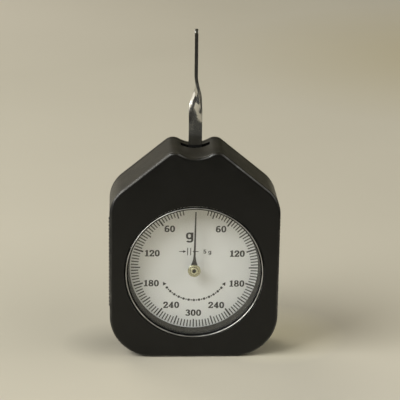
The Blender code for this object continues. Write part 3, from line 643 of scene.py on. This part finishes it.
def buildShell():
    overrun, wall = caseForm["overrun"], caseForm["wall"]
    gap, sides = wellForm["gap"], wellForm["sides"]
    body = prism(caseOutline(), frontY, splitY)
    roundRim(body, frontY, caseForm["frontRound"])
    shell = looseObject("caseShell", body)
    combine(shell, bothSides(gripBed), "DIFFERENCE")
    combine(shell, bothSides(gripComb), "UNION")
    combine(shell, prism(caseOutline(wall), frontY + wall, splitY + overrun), "DIFFERENCE")
    rootY = frontY + wall / 2
    wellRearY = dialLow.y - gap
    combine(shell, rod(wellForm["drumRadius"], rootY, wellRearY, dialCentre, sides), "UNION")
    bosses = [
        rod(bossForm[kind], rootY, endY, middleOf(node), bossForm["sides"])
        for nodes, kind, endY in (
            (coverScrews, "coverRadius", splitY), (movementScrews, "movementRadius", frontPlateLow.y - gap),
        )
        for node in nodes
    ]
    combine(shell, gathered(bosses), "UNION")
    boreRadius, ledgeRadius, ledgeY = lensHigh.x + gap, dialHigh.x + gap, sealHigh.y + gap
    well = [
        (0, frontY - overrun), (boreRadius, frontY - overrun), (boreRadius, ledgeY), (wellForm["frontRadius"], ledgeY),
        (wellForm["rearRadius"], wellRearY), (ledgeRadius, wellRearY), (ledgeRadius, wellRearY + overrun),
        (0, wellRearY + overrun),
    ]
    combine(shell, turned(well, sides, dialCentre), "DIFFERENCE")
    left, right = (slotForm["centre"] + side * slotForm["halfWidth"] for side in (-1, 1))
    low, high = caseForm["scoopHeight"] - wall - overrun, caseForm["peakHeight"] + overrun
    slotFrontY, slotRearY = strapFrontY - slotForm["frontMargin"], strapRearY + slotForm["rearMargin"]
    combine(shell, prism(boxPoints(left, right, low, high), slotFrontY, slotRearY), "DIFFERENCE")
    finishPiece(shell, "case", [casePlastic, wellPaintedLightPlastic], ["front_case"])
    # Faces inside the bore, in front of the dial, take the lighter copy: painted light on the well's walls.
    for face in shell.data.polygons:
        off = face.center - dialCentre
        if math.hypot(off.x, off.z) < boreRadius + weld and frontY + weld < face.center.y < wellRearY:
            face.material_index = 1
    return shell


shell = buildShell()
print("case shell made,", len(shell.data.polygons), "faces")


coverForm = dict(lipWall=0.0012, holeRadius=0.0011, headGap=0.0003, headRadius=0.0022, headDepth=0.0012, holeSides=64)


def buildCover():
    overrun = caseForm["overrun"]
    body = prism(caseOutline(), plateY, rearY)
    roundRim(body, rearY, caseForm["rearRound"])
    cover = looseObject("caseCover", body)
    combine(cover, bothSides(gripBed), "DIFFERENCE")
    inset = caseForm["wall"] + caseForm["seam"]
    combine(cover, prism(caseOutline(inset), coverLow.y, plateY + caseForm["wall"] / 2), "UNION")
    combine(cover, prism(caseOutline(inset + coverForm["lipWall"]), coverLow.y - overrun, plateY), "DIFFERENCE")
    hole, sink = coverForm["holeRadius"], coverForm["headRadius"] + coverForm["headGap"]
    profile = [
        (0, plateY - overrun), (hole, plateY - overrun), (hole, rearY - coverForm["headDepth"]), (sink, rearY),
        (sink, rearY + overrun), (0, rearY + overrun),
    ]
    holes = [turned(profile, coverForm["holeSides"], middleOf(node)) for node in coverScrews]
    combine(cover, gathered(holes), "DIFFERENCE")
    finishPiece(cover, "case", [casePlastic], ["rear_cover"])


screwForm = dict(
    shankRadius=0.001, length=0.006, slotWidth=0.0005, slotDepth=0.0005, edge=0.00008, sides=64,
    turns=(0.35, -0.9, 1.25, -0.2),
)


def buildCoverScrews():
    # Countersunk slotted screws, each stopped at an angle of its own.
    form = screwForm
    head, shank, edge = coverForm["headRadius"], form["shankRadius"], form["edge"]
    for node, turn in zip(coverScrews, form["turns"]):
        centre = middleOf(node)
        profile = [
            (0, rearY - form["length"]), (shank, rearY - form["length"]), (shank, rearY - coverForm["headDepth"]),
            (head, rearY - edge), (head - edge, rearY), (0, rearY),
        ]
        name = node.replace("cover_screw_", "coverScrew")
        screw = looseObject(name, turned(profile, form["sides"], centre))
        half = form["slotWidth"] / 2
        corners = boxPoints(-head * 2, head * 2, -half, half)
        groove = prism(corners, rearY - form["slotDepth"], rearY + caseForm["overrun"])
        turnBy(groove, turn, "Y")
        moveBy(groove, (centre.x, 0, centre.z))
        combine(screw, groove, "DIFFERENCE")
        finishPiece(screw, "case", [turnedMaterial(name + "Steel", "steel", centre)], [node])


buildCover()
buildCoverScrews()
print("cover and screws made")


# Window: ring, clear disc and seal

windowForm = dict(
    beadCentre=0.02416, beadRadius=0.00017, beadSteps=12, footWidth=0.00105, footDepth=0.00051, ringDrop=0.0001,
    footEdge=0.00005, discEdge=0.0001, sealRound=0.00012, sealSteps=5, sides=256,
)


def buildWindow():
    form = windowForm
    sides, edge, bead = form["sides"], form["footEdge"], form["beadRadius"]
    inner, outer, middle = ringHigh.x - form["footWidth"], ringHigh.x, form["beadCentre"]
    footY = frontY + form["footDepth"]
    profile = [(outer, ringHigh.y), (inner, ringHigh.y), (inner, footY + edge), (inner + edge, footY)]
    profile += [(middle - bead, footY)]
    profile += arcPoints((middle, frontY + bead), bead, math.pi, math.tau, form["beadSteps"])
    profile += [(middle + bead, footY), (outer - edge, footY), (outer, footY + edge)]
    ringCentre = dialCentre - Vector((0, 0, form["ringDrop"]))  # it rests on the lower side of its bore
    ring = looseObject("windowRing", turned(profile, sides, ringCentre, ring=True))
    finishPiece(ring, "case", [ringChrome, ringPaintedShade], ["bezel_ring"], evenNormals=False)
    # Faces at and behind the foot take the dark copy: painted shade beside the bright bead.
    for face in ring.data.polygons:
        if face.center.y > footY - edge:
            face.material_index = 1

    edge, radius = form["discEdge"], lensHigh.x
    profile = [
        (0, lensLow.y), (radius - edge, lensLow.y), (radius, lensLow.y + edge),
        (radius, lensHigh.y - edge), (radius - edge, lensHigh.y), (0, lensHigh.y),
    ]
    disc = looseObject("windowDisc", turned(profile, sides, dialCentre))
    finishPiece(disc, "case", [windowAcrylic], ["lens"])

    corners = boxPoints(sealHigh.x, wellForm["frontRadius"], sealHigh.y, sealLow.y)
    profile = roundedProfile(corners, form["sealRound"], form["sealSteps"])
    seal = looseObject("windowSeal", turned(profile, sides, dialCentre, ring=True))
    finishPiece(seal, "case", [sealRubber], ["lens_gasket"], evenNormals=False)


buildWindow()


# Dial: plate, scale, numbers and signs

dialForm = dict(
    holeRadius=0.0014, edge=0.0001, sides=192, inkRise=0.00002, inkSink=0.00001,
    printTurn=math.radians(0.5), printShift=0.00025,  # the print sits a little off true
)
scaleForm = dict(
    degreesPerUnit=0.6, first=20, last=300, step=5, outer=0.0227,
    small=(0.0201, 0.00037), medium=(0.0194, 0.00044), long=(0.0193, 0.00054), lowest=(0.0197, 0.00043),
    mediumEvery=30, longEvery=60,
)
numberForm = dict(
    height=0.0024, spacing=0.09, ovalSteps=20, squareness=0.86,
    places={"60": (0.00908, 0.0146), "120": (0.01513, 0.0054), "180": (0.0153, -0.006), "240": (0.0081, -0.0143)},
    lowest=("300", (-0.0001, -0.0173)),
)


def buildDialPlate():
    edge, radius, hole = dialForm["edge"], dialHigh.x, dialForm["holeRadius"]
    profile = [
        (radius, dialHigh.y), (hole, dialHigh.y), (hole, dialLow.y), (radius - edge, dialLow.y),
        (radius, dialLow.y + edge),
    ]
    plate = looseObject("dialFace", turned(profile, dialForm["sides"], dialCentre, ring=True))
    finishPiece(plate, "case", [dialPaint], ["dial_plate"])


def thicken(shape, height=dialForm["inkRise"] + dialForm["inkSink"]):
    return pullOut(shape, shape.faces[:], (0, 0, height))


def printOnDial(name, shape):
    # Ink drawn flat in X and Y stands up and goes onto the dial.
    turn = Matrix.Rotation(math.pi / 2, 3, "X") @ Matrix.Rotation(-dialForm["printTurn"], 3, "Z")
    bmesh.ops.rotate(shape, verts=shape.verts, cent=(0, 0, 0), matrix=turn)
    moveBy(shape, (dialForm["printShift"], dialLow.y + dialForm["inkSink"], dialCentre.z))
    finishPiece(looseObject(name, shape), "case", [dialInk], evenNormals=False)


def inkPolygon(shape, points):
    return shape.faces.new([shape.verts.new((x, y, 0)) for x, y in points])


def inkDot(shape, centre, radius):
    made = bmesh.ops.create_circle(shape, cap_ends=True, radius=radius, segments=numberForm["ovalSteps"])["verts"]
    moveBy(shape, (*centre, 0), made)


def ovalPoints(centre, radii, start, end, steps):
    # Along a slightly squared oval.
    power = numberForm["squareness"]
    points = []
    for across, up in arcPoints((0, 0), 1, start, end, steps):
        x, y = (math.copysign(abs(part) ** power, part) for part in (across, up))
        points.append((centre[0] + radii[0] * x, centre[1] + radii[1] * y))
    return points


def polygonStroke(*points):
    shape = bmesh.new()
    inkPolygon(shape, points)
    return shape


def boxStroke(left, right, low, high):
    return polygonStroke(*boxPoints(left, right, low, high))


def ringStroke(centre, outer, inner):
    shape = bmesh.new()
    edges = []
    for radii in (outer, inner):
        points = ovalPoints(centre, radii, 0, math.tau, 2 * numberForm["ovalSteps"])[:-1]
        loop = [shape.verts.new((*point, 0)) for point in points]
        edges += [shape.edges.new((loop[index - 1], loop[index])) for index in range(len(loop))]
    bmesh.ops.bridge_loops(shape, edges=edges)
    return shape


def arcStroke(centre, outer, inner, start, end):
    # A stretch of an oval ring, from one angle in degrees to another.
    span = (math.radians(start), math.radians(end), numberForm["ovalSteps"])
    return polygonStroke(*ovalPoints(centre, outer, *span), *ovalPoints(centre, inner, *span)[::-1])


glyphStrokes = {
    # Bold plain figures with slab feet, drawn in shares of their height.
    "0": [(ringStroke, (0.36, 0.5), (0.37, 0.51), (0.12, 0.32))],
    "1": [
        (polygonStroke, (0.16, 0.05), (0.43, 0.05), (0.43, 1.0), (0.27, 1.0), (0.03, 0.86), (0.03, 0.74), (0.16, 0.79)),
        (boxStroke, 0.0, 0.58, 0.0, 0.14),
    ],
    "2": [
        (arcStroke, (0.35, 0.69), (0.36, 0.32), (0.11, 0.13), 190, -28),
        (polygonStroke, (0.685, 0.60), (0.45, 0.66), (0.02, 0.14), (0.02, 0.02), (0.25, 0.1)),
        (polygonStroke, (0.0, 0.0), (0.70, 0.0), (0.70, 0.27), (0.55, 0.27), (0.53, 0.17), (0.0, 0.17)),
    ],
    "3": [
        (arcStroke, (0.34, 0.74), (0.33, 0.27), (0.09, 0.10), 170, -80),
        (arcStroke, (0.34, 0.28), (0.37, 0.29), (0.12, 0.11), 84, -170),
        (boxStroke, 0.22, 0.42, 0.45, 0.60),
    ],
    "4": [
        (polygonStroke, (0.38, 0.0), (0.64, 0.0), (0.64, 1.0), (0.45, 1.0), (0.38, 0.9)),
        (boxStroke, 0.0, 0.76, 0.21, 0.38),
        (polygonStroke, (0.0, 0.30), (0.20, 0.30), (0.58, 0.86), (0.47, 1.0)),
        (boxStroke, 0.30, 0.73, 0.0, 0.10),
    ],
    "5": [
        (boxStroke, 0.06, 0.64, 0.83, 1.0),
        (polygonStroke, (0.06, 0.42), (0.27, 0.47), (0.27, 0.9), (0.06, 0.9)),
        (arcStroke, (0.33, 0.33), (0.36, 0.33), (0.13, 0.16), 140, -165),
    ],
    "6": [
        (ringStroke, (0.36, 0.31), (0.37, 0.32), (0.12, 0.13)),
        (arcStroke, (0.42, 0.44), (0.43, 0.57), (0.18, 0.38), 178, 55),
        (polygonStroke, (0.0, 0.30), (0.22, 0.30), (0.23, 0.46), (0.0, 0.46)),
    ],
    "8": [
        (ringStroke, (0.36, 0.74), (0.33, 0.27), (0.10, 0.11)),
        (ringStroke, (0.36, 0.28), (0.37, 0.29), (0.12, 0.12)),
    ],
    "g": [
        (ringStroke, (0.33, 0.34), (0.33, 0.34), (0.13, 0.19)),
        (boxStroke, 0.50, 0.70, -0.06, 0.67),
        (arcStroke, (0.35, -0.05), (0.35, 0.27), (0.15, 0.12), 3, -150),
    ],
}
glyphWidths = {
    "0": 0.72, "1": 0.58, "2": 0.70, "3": 0.70, "4": 0.76, "5": 0.69, "6": 0.72, "8": 0.72, "g": 0.70, " ": 0.3,
}
glyphDepth = 0.1


def unitedGlyph(sign):
    # The strokes of one figure become one closed solid.
    first, *rest = [thicken(stroke(*places), glyphDepth) for stroke, *places in glyphStrokes[sign]]
    solid = looseObject("glyph", first)
    for stroke in rest:
        combine(solid, stroke, "UNION")
    mesh = solid.data
    bpy.data.objects.remove(solid)
    return mesh


glyphMeshes = {sign: unitedGlyph(sign) for sign in glyphStrokes}


def drawText(shape, text, centre, height):
    gap = numberForm["spacing"]
    depth = (dialForm["inkRise"] + dialForm["inkSink"]) / glyphDepth
    cursor = -(sum(glyphWidths[sign] for sign in text) + gap * (len(text) - 1)) / 2
    for sign in text:
        if sign in glyphMeshes:
            before = set(shape.verts)
            shape.from_mesh(glyphMeshes[sign])
            made = [vert for vert in shape.verts if vert not in before]
            moveBy(shape, (cursor, -0.5, 0), made)
            bmesh.ops.scale(shape, verts=made, vec=(height, height, depth))
            moveBy(shape, (*centre, 0), made)
        cursor += glyphWidths[sign] + gap


def buildScale():
    form = scaleForm
    ticks = bmesh.new()
    for value in range(form["first"], form["last"] + 1, form["step"]):
        kind = "small"
        if value == form["last"]:
            kind = "lowest"
        elif value % form["longEvery"] == 0:
            kind = "long"
        elif value % form["mediumEvery"] == 0:
            kind = "medium"
        inner, width = form[kind]
        for side in (-1, 1) if value < form["last"] else (1,):
            face = inkPolygon(ticks, boxPoints(-width / 2, width / 2, inner, form["outer"]))
            turnBy(ticks, -side * math.radians(value * form["degreesPerUnit"]), "Z", face.verts)
    printOnDial("scaleTicks", thicken(ticks))

    numbers = bmesh.new()
    for text, (x, z) in numberForm["places"].items():
        for side in (-1, 1):
            drawText(numbers, text, (side * x, z), numberForm["height"])
    drawText(numbers, *numberForm["lowest"], numberForm["height"])
    printOnDial("scaleNumbers", numbers)


signForm = dict(
    unit=("g", (-0.002, 0.0126), 0.0038), step=("5 g", (0.0044, 0.0061), 0.0015),
    barsX=(-0.0026, -0.0015), barHeight=0.0028, barWidth=0.00028, height=0.0061,
    arrows=((-0.0056, -0.0031), (0.0013, -0.0009)), arrowWidth=0.00026, headLength=0.0011, headWidth=0.001,
)
dotForm = dict(radius=0.0124, spread=52, count=25, dot=0.00028, large=0.00046, headLength=0.0013, headWidth=0.0007)


def buildSigns():
    form = signForm
    letters = bmesh.new()
    drawText(letters, *form["unit"])
    drawText(letters, *form["step"])
    printOnDial("unitSigns", letters)

    signs = bmesh.new()
    half, tall, z = form["barWidth"] / 2, form["barHeight"] / 2, form["height"]
    for x in form["barsX"]:
        inkPolygon(signs, boxPoints(x - half, x + half, z - tall, z + tall))
    half, wide = form["arrowWidth"] / 2, form["headWidth"] / 2
    for tail, tip in form["arrows"]:
        neck = tip - math.copysign(form["headLength"], tip - tail)
        inkPolygon(signs, [
            (tail, z - half), (neck, z - half), (neck, z - wide), (tip, z), (neck, z + wide), (neck, z + half),
            (tail, z + half),
        ])
    printOnDial("gapSign", thicken(signs))

    form = dotForm
    dots = bmesh.new()
    down, spread = -math.pi / 2, math.radians(form["spread"])
    for index, centre in enumerate(arcPoints((0, 0), form["radius"], down - spread, down + spread, form["count"] - 1)):
        inkDot(dots, centre, form["large"] if index % 2 == 0 else form["dot"])
    for side in (-1, 1):
        turn = down + side * (spread + form["headLength"] / form["radius"])
        outward = Vector((math.cos(turn), math.sin(turn)))
        spot, across = outward * form["radius"], outward * form["headWidth"]
        along = Vector((-outward.y, outward.x)) * side * form["headLength"]
        inkPolygon(dots, [spot + across, spot + along, spot - across])
    printOnDial("dotArc", thicken(dots))


buildDialPlate()
buildScale()
buildSigns()
print("dial made")


# Pointer: a thin needle under a turned hub

needleForm = dict(
    eyeRadius=0.0016, eyeGap=0.75, eyeSteps=16, flareStart=0.0021, flareEnd=0.0062, flareHalf=0.00115,
    flareCurve=2.4, neckHalf=0.00035, tipHalf=0.00023, flareSteps=10, bore=0.0007, lean=math.radians(0.9),
)
hubForm = dict(
    bore=0.00064, boreEdge=0.0001, capRadius=0.00145, capEdge=0.00012, capRise=0.0002, grooveRadius=0.00175,
    grooveDepth=0.00016, slantShare=0.25, rimRound=0.00024, rimSteps=6, sides=128,
)
boreForm = dict(sides=48, overrun=0.001)  # holes cut through thin strips


def bore(piece, radius, nearY, farY, centre):
    hole = rod(radius, nearY - boreForm["overrun"], farY + boreForm["overrun"], centre, boreForm["sides"])
    combine(piece, hole, "DIFFERENCE")


def buildNeedle():
    form = needleForm
    tip = needleHigh.z - dialCentre.z
    half = arcPoints((0, 0), form["eyeRadius"], -math.pi / 2, math.pi / 2 - form["eyeGap"], form["eyeSteps"])
    for step in range(form["flareSteps"] + 1):
        share = step / form["flareSteps"]
        reach = form["flareStart"] + (form["flareEnd"] - form["flareStart"]) * share
        flare = (form["flareHalf"] - form["neckHalf"]) * (1 - share) ** form["flareCurve"]
        half.append((form["neckHalf"] + flare, reach))
    half += [(form["tipHalf"], tip - form["tipHalf"]), (0, tip)]
    shape = prism(mirrored(half) + half, needleLow.y, needleHigh.y)
    turnBy(shape, form["lean"], "Y")
    moveBy(shape, dialCentre)
    needle = looseObject("indexNeedle", shape)
    bore(needle, form["bore"], needleLow.y, needleHigh.y, dialCentre)
    finishPiece(needle, "pointer", [needlePaint], ["pointer_needle"])


def buildHub():
    form = hubForm
    front, rear, radius = hubLow.y, hubHigh.y, hubHigh.x
    bored, cap, capEdge, groove = form["bore"], form["capRadius"], form["capEdge"], form["grooveRadius"]
    flange = front + form["capRise"]
    floor = flange + form["grooveDepth"]
    rim = form["rimRound"]
    slant = (groove - cap) * form["slantShare"]
    profile = [
        (bored, rear), (bored, front + form["boreEdge"]), (bored + form["boreEdge"], front),
        (cap - capEdge, front), (cap, front + capEdge), (cap + slant, floor), (groove - slant, floor), (groove, flange),
    ]
    profile += arcPoints((radius - rim, flange + rim), rim, -math.pi / 2, 0, form["rimSteps"])
    profile += [(radius, rear)]
    hub = looseObject("indexHub", turned(profile, form["sides"], dialCentre, ring=True))
    finishPiece(hub, "pointer", [turnedMaterial("hubBrass", "paleBrass", dialCentre)], ["pointer_hub"])


buildNeedle()
buildHub()
print("pointer made")


# Lever: one flat strip with a slow quarter turn, its right edge coming forwards

leverForm = dict(
    width=0.00475, thickness=0.00105, offset=0.0003, tipWidth=0.0032, eyeRadius=0.0038, eyeSteps=48, bore=0.0011,
    turnStart=0.0825, turnEnd=0.098, turnSteps=90, turnLate=1.08, tipSteps=12, roundEdge=0.00012, edgeSteps=4,
    acrossCuts=7, bladeShift=-0.00005, bladeSwell=0.17, bend=0.0007, bendMiddle=0.0948, bendReach=0.006,
    tipDrop=0.0005,
)


def turnShare(z):
    # How much of the quarter turn is done at this height: slow, quicker, slow again.
    form = leverForm
    share = min(max((z - form["turnStart"]) / (form["turnEnd"] - form["turnStart"]), 0), 1) ** form["turnLate"]
    return share * share * (3 - 2 * share)


def buildLever():
    form = leverForm
    half, tip, offset = form["width"] / 2, form["tipWidth"] / 2, form["offset"]
    middleY = (strapFrontY + strapRearY) / 2
    nearY, farY = middleY - form["thickness"] / 2, middleY + form["thickness"] / 2
    left, right = offset - half, offset + half
    eyeStart = math.acos(left / form["eyeRadius"])
    eyeEnd = math.tau + math.acos(right / form["eyeRadius"])
    outline = arcPoints((0, leverAxis.z), form["eyeRadius"], eyeStart, eyeEnd, form["eyeSteps"])
    outline += [(right, form["turnEnd"])]
    outline += arcPoints((offset, leverHigh.z - form["tipDrop"] - tip), tip, 0, math.pi, form["tipSteps"])
    outline += [(left, form["turnEnd"])]
    strip = prism(outline, nearY, farY)
    rims = [edge for edge in strip.edges if abs(edge.verts[0].co.y - edge.verts[1].co.y) < weld]
    roundEdges(strip, rims, form["roundEdge"], form["edgeSteps"])
    rise = form["bendMiddle"] + form["bendReach"] - form["turnStart"]
    for step in range(form["turnSteps"] + 1):
        cutAcross(strip, (0, 0, form["turnStart"] + rise * step / form["turnSteps"]), (0, 0, 1))
    for cut in range(form["acrossCuts"]):
        x = offset + (half - form["roundEdge"]) * (2 * (cut + 0.5) / form["acrossCuts"] - 1)
        cutAcross(strip, (x, 0, 0), (1, 0, 0))
    levels = {}
    for vert in strip.verts:
        if vert.co.z > form["turnStart"]:
            levels.setdefault(round(vert.co.z, 6), []).append(vert)
    for height, verts in levels.items():
        share = turnShare(height)
        swell = (1, 1 + form["bladeSwell"] * share, 1)
        bmesh.ops.scale(strip, verts=verts, vec=swell, space=Matrix.Translation((0, -middleY, 0)))
        turnBy(strip, -math.pi / 2 * share, "Z", verts, (offset, middleY, 0))
        reach = min(abs(height - form["bendMiddle"]) / form["bendReach"], 1)
        shift = form["bladeShift"] * share + form["bend"] * math.cos(math.pi / 2 * reach) ** 2
        moveBy(strip, (shift, 0, 0), verts)
    lever = looseObject("tensionLever", strip)
    bore(lever, form["bore"], nearY, farY, leverAxis)
    finishPiece(lever, "lever", [leverChrome], ["lever_arm"])


buildLever()
print("lever made")


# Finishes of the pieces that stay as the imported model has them

sheetNodes = {
    brassSheet: ["front_movement_plate", "rear_movement_plate", "sector_gear"],
    bluedSpring: ["measuring_spring", "hairspring"],
    groundSteel: ["lever_nut"],
}
turnedNodes = {
    "brass": [
        "front_arbor_bush", "rear_arbor_bush", "front_shaft_bush", "rear_shaft_bush", "lever_collar", "spring_collet",
        "hairspring_collet", "hairspring_stud", "dial_foot_left", "dial_foot_right", "pillar_1", "pillar_2", "pillar_3",
    ],
    "steel": [
        "lever_shaft", "spring_post", "stop_pin_left", "stop_pin_right", "pillar_screw_1", "pillar_screw_2",
        "pillar_screw_3", *movementScrews,
    ],
    "darkSteel": ["pointer_arbor"],
}


def dressNode(name, material):
    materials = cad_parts[name].data.materials
    materials.clear()
    materials.append(material)


for material, names in sheetNodes.items():
    for name in names:
        dressNode(name, material)
for tone, names in turnedNodes.items():
    for name in names:
        dressNode(name, turnedMaterial(name + "Finish", tone, middleOf(name)))
print("packed pieces finished")


# Floor, light and camera

floorForm = dict(
    reach=6.0, sides=96, colour=(0.60, 0.545, 0.435), pale=(0.64, 0.585, 0.47), rough=0.9, drifts=(9.0, 4.0, 0.5),
    patches=(  # painted light and shade: middle, reach and tone
        # Darker patches paint shade at the back right and the shadow beside the base's left; lighter ones paint light,
        # the last one lightening the shadow right of the base.
        ((0.20, 0.45, 0), 0.17, (0.55, 0.475, 0.31)),
        ((-0.16, 0.62, 0), 0.22, (0.72, 0.655, 0.54)),
        ((0.09, -0.10, 0), 0.13, (0.70, 0.64, 0.53)),
        ((-0.045, 0.035, 0), 0.09, (0.565, 0.515, 0.41)),
        ((-0.028, 0.003, 0), 0.020, (0.385, 0.35, 0.275)),
        ((0.029, 0.011, 0), 0.029, (0.94, 0.86, 0.63)),
    ),
)


def buildFloor():
    form = floorForm
    shape = bmesh.new()
    bmesh.ops.create_circle(shape, cap_ends=True, radius=form["reach"], segments=form["sides"])
    floor = looseObject("floor", shape)
    made, tree, shader, vector = newMaterial("floorCloth")
    tone = mixOf(tree, noiseOf(tree, vector, *form["drifts"]), form["colour"], form["pale"])
    # Each patch blends painted light or shade into the cloth.
    for middle, reach, paintedTone in form["patches"]:
        away = vectorOf(tree, "DISTANCE", vector, middle)["Value"]
        tone = mixOf(tree, spreadOf(tree, away, 0.0, reach, 1.0, 0.0), tone, paintedTone)
    feedAll(tree, shader, {"Base Color": tone, "Roughness": form["rough"]})
    floor.data.materials.append(made)


surroundForm = {
    # Painted reflections round the table, seen only in bright metal and gloss: the dark cards and bands paint shade
    # into them, the glowing screens paint highlights and sheen.
    "frontShadeCard": dict(low=(-0.42, -0.95), high=(0.16, -0.205), soft=(-0.36, -0.24), tone=(0.030, 0.029, 0.025)),
    "rightShadeCard": dict(low=(0.13, -0.95), high=(0.75, 0.30), soft=(0.12, 0.17), tone=(0.03, 0.028, 0.024)),
    "leftShadeCard": dict(low=(-0.60, -0.01), high=(-0.10, 0.24), soft=(-0.62, -0.60), tone=(0.014, 0.013, 0.012)),
    "darkShadeBand": dict(
        radius=0.50, start=-125, end=-35, low=0.0, high=(0.08, 0.12, 0.19, 0.19, 0.165, 0.18, 0.20), glow=0.0,
    ),
    "lowShadeBand": dict(radius=0.50, start=-35, end=40, low=0.0, high=(0.20, 0.08), glow=0.0),
    "leftHighlightScreen": dict(
        # The glowing screens paint highlights on the lever, the ring and the case's rims, and the back one paints sheen
        # on the top slopes.
        radius=0.52, start=-142, end=-28, low=0.06, high=(0.62, 0.62), glow=1.65, tint=(1.0, 0.95, 0.83),
    ),
    "rimHighlightScreen": dict(radius=1.10, start=-92, end=-71, low=0.40, high=(0.66, 0.66), glow=58.0),
    "backSheenScreen": dict(radius=1.30, start=-188, end=-146, low=0.0, high=(0.26, 0.26), glow=0.34, tint=(1.0, 0.93, 0.74)),
}
# Tones of the painted reflections: cards fade from the cloth's pale into their painted shade; screens are dark, or glow
# to paint highlights and sheen.
cardForm = dict(height=0.0005, pale=(0.56, 0.49, 0.37), ragged=0.08, noise=(24.0, 3.0, 0.6), span=(0.3, 0.7))
screenForm = dict(
    steps=24, deep=(0.012, 0.011, 0.010), light=(0.03, 0.028, 0.025), scale=6.0, tint=(1.0, 0.98, 0.94), dim=0.92,
)


def glossOnly(piece):
    for ray in ("camera", "diffuse", "shadow", "transmission"):
        setattr(piece, "visible_" + ray, False)


def buildCard(name, form):
    # A dark sheet on the table, fading into the cloth on its left: painted shade, seen only in reflections.
    (leftX, farY), (rightX, nearY) = form["low"], form["high"]
    shape = bmesh.new()
    bmesh.ops.create_grid(shape, x_segments=1, y_segments=1, size=0.5)
    bmesh.ops.scale(shape, verts=shape.verts, vec=(rightX - leftX, nearY - farY, 1))
    moveBy(shape, ((rightX + leftX) / 2, (nearY + farY) / 2, cardForm["height"]))
    card = looseObject(name, shape)
    made, tree, shader, vector = newMaterial(name)
    ragged = cardForm["ragged"]
    wander = cloudOf(tree, vector, cardForm["noise"], (*cardForm["span"], -ragged, ragged))
    dark = spreadOf(tree, mathOf(tree, "ADD", partOf(tree, vector, "X"), wander), *form["soft"])
    feedAll(tree, shader, {"Base Color": mixOf(tree, dark, cardForm["pale"], form["tone"]), "Roughness": 1.0})
    card.data.materials.append(made)
    glossOnly(card)


def buildScreen(name, form):
    # Part of an upright ring round the gauge, seen only in gloss: a dark one paints shade into reflections, a glowing
    # one paints highlights. Angles are from the front.
    shape = bmesh.new()
    edge = shape.edges.new([shape.verts.new((0, -form["radius"], z)) for z in (form["low"], form["high"][0])])
    turnBy(shape, math.radians(form["start"]), "Z")
    stops = form["high"]  # heights of the top edge, evenly spread along the sweep
    steps = screenForm["steps"] // (len(stops) - 1)
    angle = math.radians(form["end"] - form["start"]) / (steps * (len(stops) - 1))
    for start, end in zip(stops, stops[1:]):
        for step in range(steps):
            made = bmesh.ops.spin(
                shape, geom=[*edge.verts, edge], cent=(0, 0, 0), axis=(0, 0, 1), steps=1, angle=angle,
            )["geom_last"]
            edge = next(item for item in made if isinstance(item, bmesh.types.BMEdge))
            max(edge.verts, key=lambda vert: vert.co.z).co.z += (end - start) / steps
    screen = looseObject(name, shape)
    made, tree, shader, vector = newMaterial(name)
    shade = noiseOf(tree, vector, screenForm["scale"])
    tone = mixOf(tree, shade, screenForm["deep"], screenForm["light"])
    feedAll(tree, shader, {"Base Color": tone, "Roughness": 1.0})
    if form["glow"]:
        tint = form.get("tint", screenForm["tint"])
        glow = mixOf(tree, shade, tint, [screenForm["dim"] * part for part in tint])
        feedAll(tree, shader, {"Emission Color": glow, "Emission Strength": form["glow"]})
    screen.data.materials.append(made)
    glossOnly(screen)


lightForm = {
    "keyLight": dict(place=(-0.95, -0.45, 0.95), size=0.85, power=14.9, colour=(0.95, 0.985, 0.99)),
    "frontLight": dict(place=(-0.50, -0.90, 1.10), size=0.8, power=3.25, colour=(1.0, 1.0, 0.975)),
    "rightLight": dict(place=(1.05, -0.35, 0.75), size=1.3, power=6.1, colour=(1.0, 0.985, 0.94)),
    "backLight": dict(place=(-0.60, 0.90, 1.00), size=0.8, power=4.6, colour=(1.0, 0.96, 0.87)),
}
roomForm = dict(aim=(0, 0, 0.05), colour=(1.0, 0.98, 0.64), strength=0.067)


def buildLights():
    for name, form in lightForm.items():
        light = bpy.data.lights.new(name, "AREA")
        holder = placed(name, light)
        light.shape = "SQUARE"
        light.size = form["size"]
        light.energy = form["power"]
        light.color = form["colour"]
        holder.location = form["place"]
        aim = Vector(roomForm["aim"]) - Vector(form["place"])
        holder.rotation_euler = aim.to_track_quat("-Z", "Y").to_euler()
    world = bpy.data.worlds.new("softRoom")
    world.use_nodes = True
    ground = {"Color": (*roomForm["colour"], 1), "Strength": roomForm["strength"]}
    feedAll(world.node_tree, world.node_tree.nodes["Background"], ground)
    bpy.context.scene.world = world


cameraForm = dict(
    azimuth=-2.966, elevation=18.360, roll=0.859, distance=0.5859, aim=(0.002073, 0, 0.056052),
    focalPixels=1652.25, imagePixels=400, sensor=36.0, clip=(0.01, 50),
)


def buildCamera():
    form = cameraForm
    lens = bpy.data.cameras.new("camera")
    lens.sensor_width = form["sensor"]
    lens.lens = form["focalPixels"] / form["imagePixels"] * form["sensor"]
    lens.clip_start, lens.clip_end = form["clip"]
    turn, tilt, roll = (
        Matrix.Rotation(math.radians(angle), 4, axis)
        for angle, axis in ((form["azimuth"], "Z"), (90 - form["elevation"], "X"), (form["roll"], "Z"))
    )
    camera = placed("camera", lens)
    facing = turn @ tilt
    place = Vector(form["aim"]) + facing.to_3x3() @ Vector((0, 0, form["distance"]))
    camera.matrix_world = Matrix.Translation(place) @ facing @ roll
    bpy.context.scene.camera = camera


buildFloor()
for name, form in surroundForm.items():
    if "radius" in form:
        buildScreen(name, form)
    else:
        buildCard(name, form)
buildLights()
buildCamera()
bpy.context.scene.view_settings.view_transform = "Standard"
print("stage made")
